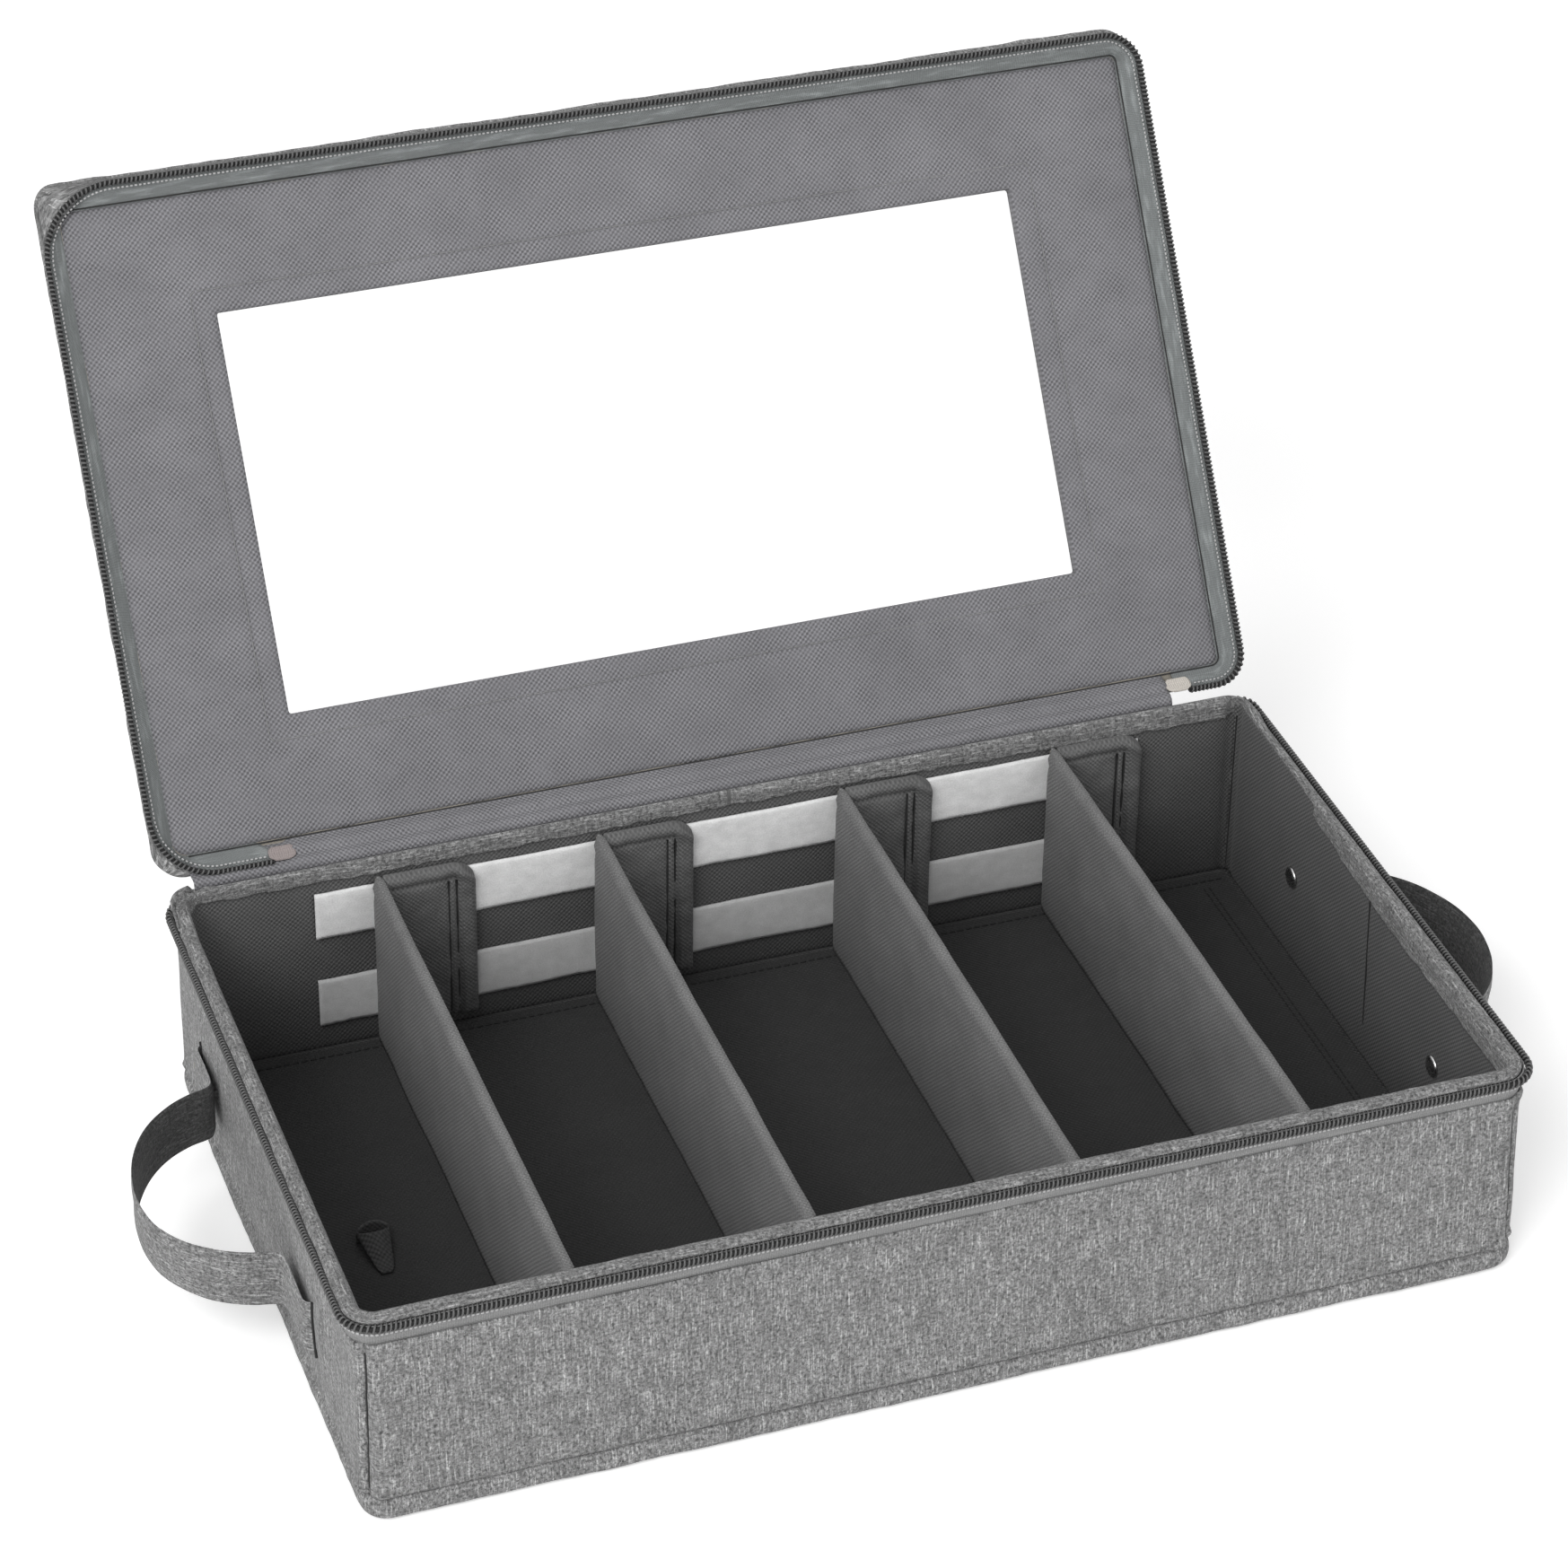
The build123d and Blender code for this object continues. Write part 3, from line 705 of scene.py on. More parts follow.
class Cloths:
    """Every material of the chest."""
    outer = heather("heather_cloth")
    # Darker copy of the heather: painted shade on the handle straps' inner faces.
    outer_painted_shade = heather("heather_cloth_shaded", 0.55)
    lid_lining = embossed("lid_lining_cloth", 116, (1.0, 0.995, 1.025), contrast=0.66, grain=0.24)
    # A slightly darker copy of the heather: painted shade on the rim and its hem inside the box.
    rim = heather("shaded_heather_rim_cloth", 0.95)
    under = plain_cloth("bottom_lining_cloth", 46)
    # The same cloth as the lid's lining, made darker as painted shade inside the box; low under 1 also paints
    # it darker towards the bottom and lighter towards the top.
    wall_lining = embossed("shaded_wall_lining_cloth", 76, low=0.66, contrast=0.7)
    floor = embossed("floor_cloth", 44, mottling=0.10, contrast=0.16)
    # low under 1 paints the dividers and flaps darker towards the bottom and lighter towards the top: painted
    # shade and painted light.
    divider = embossed("divider_cloth", 96, pitch=1.25, mottling=0.16, contrast=0.3, low=0.62, grain=0.5)
    flap = embossed("divider_flap_cloth", 82, pitch=1.25, mottling=0.14, low=0.72, grain=0.3)
    tape = zip_cloth("zip_tape_cloth", 140, (1.0, 1.0, 1.0), 0.3)
    lid_tape = zip_cloth("lid_zip_tape_cloth", 124, (0.97, 1.0, 1.0), 0.9)
    coil = plastic("zip_coil_nylon", 88, 0.45)
    core = plastic("zip_core_cord", 16, 0.8)
    thread = plastic("pale_thread", 182, 0.8)
    soft_thread = plastic("lining_thread", 132, 0.8)
    # Dark thread for real stitches, and dark cords laid as painted shade in seams, creases, slits and
    # grooves.
    dark_thread_and_painted_shade = plastic("dark_thread_and_painted_shade", 34, 0.8)
    loop = felt("loop_tape_pile", 240)
    # A darker copy of the loop pile: painted shade on the lower strips, deeper in the box.
    loop_low = felt("shaded_lower_loop_tape_pile", 196)
    hook = felt("hook_tape_pile", 214)
    # The two end tabs share one cloth, painted in a lit tone on the right and a darker, greyer shaded tone on
    # the left.
    end_tab = zip_cloth("end_tab_cloth", 204, (1.02, 0.99, 0.95), 0.3)
    shaded_left_tab = zip_cloth("shaded_end_tab_cloth", 150, (1.05, 0.98, 0.97), 0.3)
    board = paperboard("stiffener_paperboard")
    film = clear_film("window_film_vinyl")
    steel = metal("zip_slider_metal", 150, 0.28)
    rivet = metal("rivet_steel", 190, 0.2)


def place(piece, body, *nodes):
    """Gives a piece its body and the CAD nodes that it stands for."""
    if body:
        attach(piece, body)
    if nodes:
        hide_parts(*nodes)
    return piece


# ---------------------------------------------------------------- shape of the walls
def flare(s, z):
    """How far the wall leans out towards its lower edge; both side walls lean to the right."""
    nx, ny = wall.facing(s)
    return (flare_long * ny ** 2 + side_lean * nx) * (1 - np.clip(z / rim_z, 0, 1))


def wall_wave(s, z):
    """Slack of the cloth over its boards, most of it half way up."""
    nx, _ = wall.facing(s)
    middle = np.sin(np.pi * np.clip(z / rim_z, 0, 1))
    slack = 0.5 * ripple(s, z, 55, 38, 2) + 0.16 * ripple(s, z, 11, 16, 3)
    slack = slack + 0.4 * nx ** 2 * ripple(s, z, 8, 30, 4)
    return slack * (0.35 + 0.65 * middle)


def panel_edges(s, start, end):
    """Crease at each upright seam with a puffed ridge beside it."""
    near = np.minimum(np.abs(s - start), np.abs(s - end))
    return 0.8 * hump(near - 2.8, 1.8) - 0.9 * hump(near, 0.9)


def slit_lumps(s, z):
    """Puckers that the handle straps pull into the side walls round their slits."""
    lump = 0.0
    for middle in ((left_start + left_end) / 2, (right_start + right_end) / 2):
        for side in (-1, 1):
            at = s - middle - side * slit_off
            lump = lump + 1.5 * hump(at - 4 * side, 5) * hump(z - slit_z, 16) * ripple(s, z, 7, 12, 5)
            lump = lump + 0.9 * hump(at, 12) * hump(z - strap_z, 20)
    return lump


def wall_out(s, z, start, end):
    """How far out the wall cloth lies."""
    return flare(s, z) + wall_wave(s, z) + panel_edges(s, start, end) + slit_lumps(s, z)


def wall_cover(node, start, end):
    """Outer cloth of one wall, from the bottom seam to its folded edge on the zip tape."""
    s = wall.steps(start, end, 2.2, 0.8)[:, None]
    seam_z = fold_z + 1.0 + 0.35 * wobble(s, 16, 3)
    top = cover_top + 0.15 * wobble(s, 20, 4)
    z = seam_z + (top - seam_z) * np.linspace(0, 1, 34)[None]
    out = wall_out(s, z, start, end)
    out = out + 0.75 * hump(z - seam_z - 1.6, 1.5) - 0.5 * hump(z - seam_z, 0.7)
    out = out + 0.9 * ease((z - top + 5) / 4)
    slack = flare(s, top) + wall_wave(s, top) + 0.5 * panel_edges(s, start, end)
    fold_z_rows = np.array([0.35, 0.5, 0.25, -0.6])[None] + top
    fold_out = np.array([0.8, 0.45, 0.0, -0.3])[None] + slack
    z = np.concatenate([seam_z + 0.2, z, fold_z_rows], 1)
    out = np.concatenate([out[:, :1] - 1.2, out, fold_out], 1)
    piece = cloth(f"{node}_cloth", wall.points(s, out, z), stacked(s, z), cover_thick, [Cloths.outer])
    place(piece, "base", node)
    if node[0] in "fb":
        panel_seams(node, start, end)


def panel_seams(node, start, end):
    """A dark cord down both upright seams of a wall panel, painted shade of each seam's groove."""
    z = np.linspace(fold_z + 4, cover_top - 2, 40)
    lines = []
    for edge in (start, end):
        s = edge + 0.5 * wobble(z, 14, 17)
        out = wall_out(s, z, start, end) + 0.12 + 0.25 * wobble(z, 9, 18)
        lines.append((wall.points(s, out, z), (1, 1, 0)))
    cord(f"{node}_seams", lines, Cloths.dark_thread_and_painted_shade, seam_r, "base")


def bottom_cover():
    """Cloth under the box, turned up round the walls to the bottom seam."""
    s = wall.steps(0, wall.length, 3.0, 0.8)[:-1, None]
    profile = np.array([(-60, 0.55), (-30, 0.5), (-12, 0.3), (-5.5, 0.15), (-3.0, 0.2), (-1.2, 0.6),
                        (0.0, 1.5), (0.75, 3.0), (1.0, 4.8), (0.9, 6.4), (0.5, 7.7), (-0.4, 8.5),
                        (-1.4, 8.9)])
    out, z = profile[:, 0][None] + 0 * s, profile[:, 1][None] + 0 * s
    edge = ease((out + 6) / 6)
    z = z + edge * 0.35 * ripple(s, z, 16, 30, 3)
    out = out + edge * (flare(s, z) + 0.35 * ripple(s, z, 24, 12, 8) + 0.25 * ripple(s, z, 6, 9, 9))
    grid = wall.points(s, out, z)
    normal = grid_normals(grid, True)
    inner = grid + normal * cover_thick * np.sign(normal[0, 0, 2])
    run = run_length(profile)
    uv = stacked(s, run[None] - run[-1])
    piece = two_faced("bottom_cloth", grid, inner, uv, [Cloths.outer], wrap=True, capped=True)
    place(piece, "base", "bottom_cover")


def hem_height(s):
    """Height of the ragged hem inside the rim; on the right it ends high, under the lining."""
    nx, ny = wall.facing(s)
    x, _ = wall.plan(s)
    ragged = 0.8 * wobble(s, 6, 11) + 0.5 * wobble(s, 1.7, 12)
    hem = (rim_z - 4.5) * ny ** 2 + (hem_z + 2.5) * nx ** 2 + ragged
    hem = hem + np.where(ny > 0.5, 0.5 * rise(s) - 3.0 * ease(x / half_x), 0.0)
    return hem + 11.0 * lining_over(s)


def rim_roll(s, inside):
    """Offsets and heights of the puffed cloth over the rim, from its outer to its inner side."""
    right = ease(wall.facing(s)[0])
    shape = np.array([(0.3, -3.0), (1.0, -2.3), (1.3, -1.4), (1.0, -0.5), (0.2, 0.0), (-0.9, 0.15),
                      (-2.1, 0.1), (-3.1, -0.25), (-3.9, -1.1), (-4.4, -2.2), (-4.5, -3.4)])
    out = shape[:, 0][None] * np.where(shape[:, 0] < 0, inside / 4.5, 1 - 0.65 * right)
    z = shape[:, 1][None] + rim_z + rise(s) - 0.6 * right * (shape[:, 0] > -2.0)
    puff = ease((shape[:, 1][None] + 2.8) / 1.5)
    out = out + puff * 0.25 * ripple(s, z, 9, 6, 13) * np.where(out > -2, 1, -1)
    return out, z + puff * (0.18 * ripple(s, out, 12, 5, 14) - 0.12)


def rim():
    """Puffed cloth edge folded over the rim, with a ragged hem inside."""
    s = wall.steps(0, wall.length, 1.6, 0.8)[:-1, None]
    inside = rim_in + 0.25
    out, z = rim_roll(s, inside)
    hem_rows = z[:, -1:] + np.minimum(hem_height(s) - z[:, -1:], -1.0) * np.linspace(0.15, 1, 7)[None]
    hem_out = -inside + 0.2 * ripple(s, hem_rows, 8, 5, 15)
    out = np.maximum(np.concatenate([out, hem_out], 1), -inside * (1 - 0.6 * lining_over(s)))
    z = np.minimum(np.concatenate([z, hem_rows], 1), under_lid(*wall.plan(s, out)))
    legs = np.hypot(np.diff(out), np.diff(z))
    run = np.concatenate([np.zeros((len(s), 1)), np.cumsum(legs, 1)], 1)
    grid = wall.points(s, out, z)
    piece = cloth("rim_cloth", grid, stacked(run, s), rim_thick, [Cloths.rim], wrap=True)
    place(piece, "base", "rim_binding")


# ---------------------------------------------------------------- zip
def zip_spans():
    """Both halves of the zip run from one back end round the front to the other."""
    return zip_end, wall.length - zip_end


def base_tape():
    """Zip tape, sewn under the wall cloth's folded edge and standing out to the coil."""
    start, end = zip_spans()
    s = wall.steps(start, end, 2.0, 0.8)[:, None]
    t = np.linspace(0, 1, 11)[None]
    low, high = cover_top - 3.5, tape_high - 0.7
    z = low + (high - low) * t + 0 * s
    out = 0.3 + 1.15 * ease((t - 0.15) / 0.8) + 0.15 * ripple(s, z, 12, 4, 21)
    piece = cloth("base_tape_cloth", wall.points(s, out, z), stacked(s, z), zip_thick, [Cloths.tape])
    place(piece, "base", "base_zip_tape")


def coil_piece(name, outline, s, out, z, body, node, move=None):
    """Nylon coil: a fine wire wound round a dark core cord."""
    wire_sides, wire_r, wire_bend = 5, 0.38, 0.95
    core_sides, core_r = 8, 0.82
    turns = s * math.tau / tooth_pitch
    z = z + 0 * s
    x, y, nx, ny = outline.at(s, out)
    bend, lift = wire_bend * np.cos(turns), coil_lift * np.sin(turns)
    helix = stacked(x + nx * bend, y + ny * bend, z + lift)
    core = stacked(x, y, z)[::4]
    up = np.array([0.0, 0.0, 1.0])
    if move:
        helix, core = move(helix), move(core)
        up = direction_of(move, up)
    wound = cord_grid(helix, up, wire_r, wire_sides).reshape(-1, 3)
    inner = cord_grid(core, up, core_r, core_sides).reshape(-1, 3)
    points = np.concatenate([wound, inner])
    wire_faces = rod_faces(len(helix), wire_sides)
    core_faces = rod_faces(len(core), core_sides, len(wound))
    index = [0] * len(wire_faces) + [1] * len(core_faces)
    materials = [Cloths.coil, Cloths.core]
    piece = mesh_object(name, points, wire_faces + core_faces, points[:, [0, 2]], materials, index)
    return place(piece, body, node)


def base_zip():
    """Tape, coil and the row of thread beads under it; no beads where the slider runs."""
    base_tape()
    start, end = zip_spans()
    s = np.arange(start, end, tooth_pitch / 9)
    nx, _ = wall.facing(s)
    coil_piece("base_coil", wall, s, coil_mid_out + 0.8 * ease(nx), coil_z, "base", "base_zip_coil")
    path = wall.points(wall.steps(start + 2, back_right, 2.0, 0.8), 1.9, coil_z - 2.4)
    stitches("base_coil_stitches", [(path, (0, 0, 1))], Cloths.thread, "base", tooth_pitch, 0.68, 0.5)


# ---------------------------------------------------------------- inside of the box
def wall_linings():
    """Lining panels on the four walls."""
    corner = corner_r * math.pi / 4
    spans = {
        "back_lining": (-back_left - corner + 0.6, back_left + corner - 0.6),
        "left_lining": (back_left + corner - 1.5, front_start - corner + 1.5),
        "front_lining": (front_start - corner + 0.6, front_end + corner - 0.6),
        "right_lining": (right_start - corner - 1.5, right_end + corner + 1.5),
    }
    for number, (node, span) in enumerate(spans.items()):
        wall_lining(node, *span, 30 + number)
    wall_fold_lines(corner)


def wall_lining(node, start, end, seed):
    """One wall's lining; its upper rows turn over the rim where the right wall's lining does."""
    s = wall.steps(start, end, 4.0, 1.2)[:, None]
    z = np.linspace(floor_low[2] + 0.2, rim_z - 2.5, 18)[None]
    puff = 0.35 * ripple(s, z, 40, 26, seed) + 0.12 * ripple(s, z, 9, 9, seed + 1)
    crease = 0.0
    if node[0] in "lr":
        crease = 0.8 * hump(s - (start + end) / 2, 1.2) * ease((z - 22) / 4) * ease((74 - z) / 4)
    out = 0.12 - wall_in - np.abs(puff) * 0.8 + crease
    over = lining_over(s) * (node[0] == "r")
    turned_z = z[:, -1:] + np.array([[0.3, 0.6, 0.9, 1.2]]) + over * np.array([[1.0, 1.6, 1.9, 1.75]])
    turned_out = out[:, -1:] + over * np.array([[0.1, 0.5, 1.3, 2.3]])
    z = np.concatenate([z + 0 * s, turned_z], 1)
    grid = wall.points(s, np.concatenate([out, turned_out], 1), z)
    piece = cloth(f"{node}_cloth", grid, stacked(s, z), lining_thick, [Cloths.wall_lining], flip=True)
    place(piece, "base", node)


def wall_fold_lines(corner):
    """Dark cords as painted shade in the creases: the side walls' fold lines and the four upright corners of
    the lining.
    """
    folds = []
    z = np.linspace(floor_high[2] + 12, 74, 24)
    for side in (-1, 1):
        folds.append((stacked(side * (half_x - wall_in - 0.1), -2 - 5 * (1 - z / 74), z), (1, 0, 0)))
    z = np.linspace(floor_high[2] + 0.5, rim_z - 6, 40)
    for start in wall.knots[[1, 3, 5, 7]]:
        folds.append((wall.points(start + corner, 0.05 - wall_in, z), (1, 0, 0)))
    cord("wall_fold_lines", folds, Cloths.dark_thread_and_painted_shade, seam_r, "base")


def loop_strips():
    """Pale loop tape, two strips on each long wall."""
    for wall_side, sign in (("back", 1), ("front", -1)):
        for number, level in enumerate(("lower", "upper")):
            loop_strip(wall_side, sign, level, 40 + number + 3 * sign)


def loop_strip(wall_side, sign, level, seed):
    """One strip of loop tape with a wavy lower edge and fuzzy pile."""
    node = f"{wall_side}_loop_strip_{level}"
    low, high = box_mm(node)
    x = np.arange(low[0], high[0] + 1, 1.6)[:, None]
    t = np.linspace(0, 1, 15)[None]
    bottom = low[2] + 0.5 * wobble(x, 22, seed) + 0.15 * wobble(x, 3, seed + 1)
    top = high[2] + 0.3 * wobble(x, 30, seed + 2)
    z = bottom + (top - bottom) * t
    face = low[1] if sign > 0 else -high[1]
    fuzz = 0.10 * ripple(x, z, 1.2, 1.2, seed + 3) + 0.12 * ripple(x, z, 9, 7, seed + 4)
    y = face - 0.15 + 0.35 * (2 * t - 1) ** 8 + fuzz
    # The lower strips take the darker pile: painted shade deep in the box.
    pile = Cloths.loop_low if level == "lower" else Cloths.loop
    grid = stacked(x, sign * y, z)
    piece = cloth(f"{node}_pile", grid, stacked(x, z), loop_thick, [pile], flip=sign > 0)
    place(piece, "base", node)


def floor_insert():
    """Removable floor: cloth over a board, with a bound rear edge."""
    low, high = floor_low.copy(), floor_high.copy()
    high[0] = half_x - wall_in - 0.4
    low[0] = -high[0]
    x = np.linspace(low[0], high[0], 120)[:, None]
    y = np.linspace(low[1] + 0.2, high[1] - 0.2, 74)[None]
    from_edge = np.minimum(np.minimum(x - low[0], high[0] - x), np.minimum(y - low[1], high[1] - y))
    z = high[2] - 0.1 - 0.12 * np.exp(-from_edge / 1.2) + 0.07 * ripple(x, y, 40, 40, 51)
    z = z + 0.5 * hump(high[1] - y - 3.2, 2.4) - 0.35 * hump(high[1] - y - 6.6, 0.7)
    piece = cloth("floor_cloth_top", stacked(x, y, z), stacked(x, y), lining_thick, [Cloths.floor])
    place(piece, "base", "floor_cover")
    across = np.arange(low[0] + 4, high[0] - 4, 3.0)
    along = np.arange(low[1] + 4, high[1] - 8, 3.0)
    level = high[2] + 0.1
    rows = [stacked(across, high[1] - 6.2, level)]
    rows += [stacked(high[0] - inset, along, level) for inset in (11.0, 13.2)]
    stitches("floor_stitches", [(row, (0, 0, 1)) for row in rows], Cloths.dark_thread_and_painted_shade, "base")


def pull_tab():
    """Tapered pull tab of the floor insert: a folded loop that stands open at its rear."""
    low, high = box_mm("floor_pull_tab")
    middle = (low[0] + high[0]) / 2
    wide, tip, tall = (high[0] - low[0]) / 2, 2.5, 6.0
    t = np.linspace(0, 1, 16)[:, None]
    u = np.linspace(-1, 1, 13)[None]
    x = middle + u * (wide + (tip - wide) * t) * (1 - 0.25 * ease((t - 0.85) / 0.15))
    y = high[1] - 3.5 * (1 - u ** 2) * (1 - t) - (high[1] - low[1]) * t
    z = low[2] + 0.9 + tall * (1 - t) ** 1.3 * (1 - 0.35 * u ** 2)
    piece = cloth("pull_tab_cloth", stacked(x, y, z), stacked(x, y), tab_thick, [Cloths.wall_lining])
    place(piece, "base", "floor_pull_tab")
    x = middle + u * wide
    y = high[1] + 1.6 * (1 - u ** 2)
    z = low[2] + 0.6 + (tall + 1.2 - 2.2 * u ** 2) * np.linspace(0, 1, 8)[:, None]
    grid = stacked(x, y, z)
    piece = cloth("pull_tab_rear_cloth", grid, stacked(x, z), tab_thick, [Cloths.wall_lining])
    place(piece, "base")


# ---------------------------------------------------------------- dividers
def sleeve(number):
    """Padded sleeve over a divider's board, with a bound top edge."""
    body = f"divider_{number}"
    low, high = box_mm(f"{body}_board")
    skin = 0.8
    half = (high[0] - low[0]) / 2 + skin
    top = high[2] + skin
    flat = top - low[2] - half  # height of the flat sides, under the rounded top
    total = 2 * flat + math.pi * half
    y = np.linspace(low[1] - skin, high[1] + skin, 112)[:, None]
    run = np.linspace(0, 1, 46)[None] * total
    on_side = (run < flat) | (run > total - flat)
    arc = np.clip((run - flat) / half, 0, math.pi)
    across = -np.cos(arc)
    level = np.minimum(np.minimum(run, total - run), flat)
    height = low[2] + level + np.sin(arc) * half
    puff = 0.35 * ripple(y, height * np.sign(across + 1e-9), 30, 24, 60 + number)
    puff = puff + 0.25 * np.sin(np.pi * np.clip(level / flat, 0, 1))
    bound = 0.35 * hump(top - height - 3.0, 2.5) - 0.35 * hump(top - height - 6.5, 0.8) * on_side
    round_end = np.maximum(rounded(np.minimum(y - y[0], y[-1] - y), half), 0.25)
    x = (low[0] + high[0]) / 2 + across * (half + np.clip(puff, -0.2, 0.7) + bound) * round_end
    wave = 0.25 * wobble(y, 18, 70 + number)
    grid = stacked(x, y, height + wave * (level / flat) ** 2)
    piece = tube(f"{body}_sleeve_cloth", grid, stacked(y, run), [Cloths.divider])
    place(piece, body, f"{body}_sleeve")


flap_corner = 9.0
flap_seams = (7.2, 10.2)  # both seams' distances from the flap's free end
flap_roll = 7.4  # width of the puffed roll along the free end


def flap_relief(from_end, from_top, from_low, slack):
    """How far a flap stands off the wall, from the distances to its free end, top and bottom."""
    edge = np.minimum(np.minimum(from_end, from_top), from_low)
    upright = ease((from_top - 4.5) / 2)
    seams = 1.5 * hump(from_end - flap_seams[0], 0.7) + 1.0 * hump(from_end - flap_seams[1], 0.6)
    band = 1.1 * hump(from_top - 5.6, 0.7) * (from_end > flap_roll) - 0.8 * hump(from_top - 2.6, 1.8)
    roll = 1.5 * ease((flap_roll - from_end) / 1.4) * np.clip(edge / 2.2, 0, 1)
    puff = 0.75 * slack + (0.5 * hump(from_end - 8.8, 0.8) - seams) * upright
    return np.maximum(2.5 * rounded(edge, 2.2) + roll + (puff - band) * np.clip(edge / 1.5, 0, 1), 0.3)


def flap(number, sign):
    """Flap at a divider's end: padded panel with a bound edge and a double seam."""
    body = f"divider_{number}"
    high = box_mm(f"{body}_sleeve")[1]
    start = box_mm(f"{body}_board")[1][0] + 0.6
    wide, back = high[0] - start, high[1]
    z0, z1 = floor_high[2] + 5.0, rim_z - 3.5
    across = np.linspace(0, 1, 40)[:, None] * wide
    past = np.clip((across - (wide - flap_corner)) / flap_corner, 0, 1)
    top = z1 - flap_corner * (1 - np.sqrt(1 - past ** 2))
    z = z0 + (top - z0) * np.linspace(0, 1, 60)[None]
    slack = ripple(across, z, 7, 9, 80 + number + 5 * sign)
    face = flap_relief(wide - across, top - z, z - z0, slack)
    x = start + across
    front, rear = stacked(x, sign * (back - face), z), stacked(x, sign * (back - 0.1), z)
    name = f"{body}_back_flap" if sign > 0 else f"{body}_front_flap"
    piece = two_faced(name, front, rear, stacked(x, z), [Cloths.flap])
    place(piece, body)
    # A dark cord down each seam's groove: painted shade.
    z = np.arange(z0 + 2, z1 - 5.0, 2.0)
    lines = []
    for inset, deep in zip(flap_seams, (1.6, 1.9)):
        lines.append((stacked(high[0] - inset, sign * (back - deep), z), (1, 0, 0)))
    cord(f"{name}_seams", lines, Cloths.dark_thread_and_painted_shade, 0.4, body)


def hook_tapes(number):
    """Hook tape sewn to the back of each flap, against the loop strips."""
    body = f"divider_{number}"
    low, high = box_mm(f"{body}_hook_tapes")
    for sign, where in ((1, "back"), (-1, "front")):
        for level in ("lower", "upper"):
            loop_low, loop_high = box_mm(f"back_loop_strip_{level}")
            z0, z1 = loop_low[2] + 2, min(loop_high[2], high[2] + 2) - 2
            x = np.linspace(low[0], high[0], 20)[:, None]
            z = np.linspace(z0, z1, 12)[None]
            y = sign * (high[1] - 0.05 + 0.08 * ripple(x, z, 1, 1, 90))
            name = f"{body}_{where}_hook_{level}"
            piece = cloth(name, stacked(x, y, z), stacked(x, z), hook_thick, [Cloths.hook])
            place(piece, body, f"{body}_hook_tapes")


def dividers():
    for number in (1, 2, 3, 4):
        sleeve(number)
        for sign in (1, -1):
            flap(number, sign)
        hook_tapes(number)


# ---------------------------------------------------------------- handles
LOOP_HALVES = {"left": (52.0, 38.0), "right": (46.0, 48.0)}  # rear and front half of each loop
SLITS = {"left": (76.0, 66.0), "right": (76.0, 74.0)}  # rear and front slit, from the middle


def strap_plan(name, reach):
    """A strap seen from above, as (out, y), from its rear slit round the loop to its front one."""
    ends = []
    for half, slit in zip(LOOP_HALVES[name], SLITS[name]):
        flat = [(-1.8, slit + 0.8), (0.0, slit + 0.2), (2.4, slit - 1.6), (2.7, slit - 6), (2.6, half + 12),
                (2.7, half + 4.5), (3.6, half + 1.3), (6.4, half - 0.4)]
        angles = np.radians([72, 60, 47, 33, 18])
        ends.append(flat + [(reach * math.cos(a), half * math.sin(a)) for a in angles])
    rear, front = LOOP_HALVES[name]
    middle = (reach, (rear - front) / 7)
    return curve_through(ends[0] + [middle] + [(out, -y) for out, y in ends[1][::-1]], 1.4)


def handle(side):
    """One flat strap: out of a slit, past its rivet, round the loop and back."""
    name = "right" if side > 0 else "left"
    low, high = box_mm(f"{name}_handle")
    z_mid, wide = (low[2] + high[2]) / 2, (high[2] - low[2]) / 2
    reach = max(abs(low[0]), abs(high[0])) - half_x - 0.8
    plan = strap_plan(name, reach)
    run = run_length(plan)
    standing = np.clip(plan[:, 0] / reach, 0, 1)
    droop = -3.2 * (1 - 0.5 * standing) if side < 0 else -0.5 - 2.5 * standing
    path = stacked(side * (half_x + plan[:, 0]), plan[:, 1], z_mid + droop)
    across, _ = frames(path, np.array([0, 0, 1.0]))
    across[:, 2] = 0
    turn = np.concatenate([np.linspace(-1, 1, 13), np.linspace(1, -1, 13)])  # round the strap's section
    face = np.repeat([1, -1], 13)
    sewn = 0.3 * hump(wide * (1 - np.abs(turn)) - 2.2, 0.6)
    half_thick = face * (0.8 * np.sqrt(np.clip(1 - turn ** 8, 0, 1)) - sewn)
    sway = 0.5 * ripple(run[:, None], turn[None] * wide, 30, 16, 101) + 0.5 * (turn[None] ** 2 - 0.4)
    away = half_thick[None] + ease(plan[:, :1] / 12) * sway
    grid = path[:, None] + across[:, None] * away[..., None]
    lean = 6.0 if side > 0 else 0.8  # how far the loop's upper edge leans inwards
    grid[..., 0] -= side * lean * standing[:, None] * (1 - turn[None]) / 2
    grid[..., 2] += turn[None] * wide * (1 + 0.012 * wobble(run[:, None], 14, 103))
    outward = across[len(run) // 2, 0] * side
    # The strap's inner face takes the darker copy of the heather: painted shade.
    index = np.broadcast_to(np.where(face * outward > 0, 0, 1), grid.shape[:2])
    uv = stacked(turn[None] * wide, run[:, None])
    piece = tube(f"{name}_handle_strap", grid, uv, [Cloths.outer, Cloths.outer_painted_shade], index=index[:-1])
    place(piece, None, f"{name}_handle", f"{name}_handle_ends")
    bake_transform(piece)
    slit_edges(name, side, z_mid + droop[0], wide + 0.5)
    rivets(name, side)


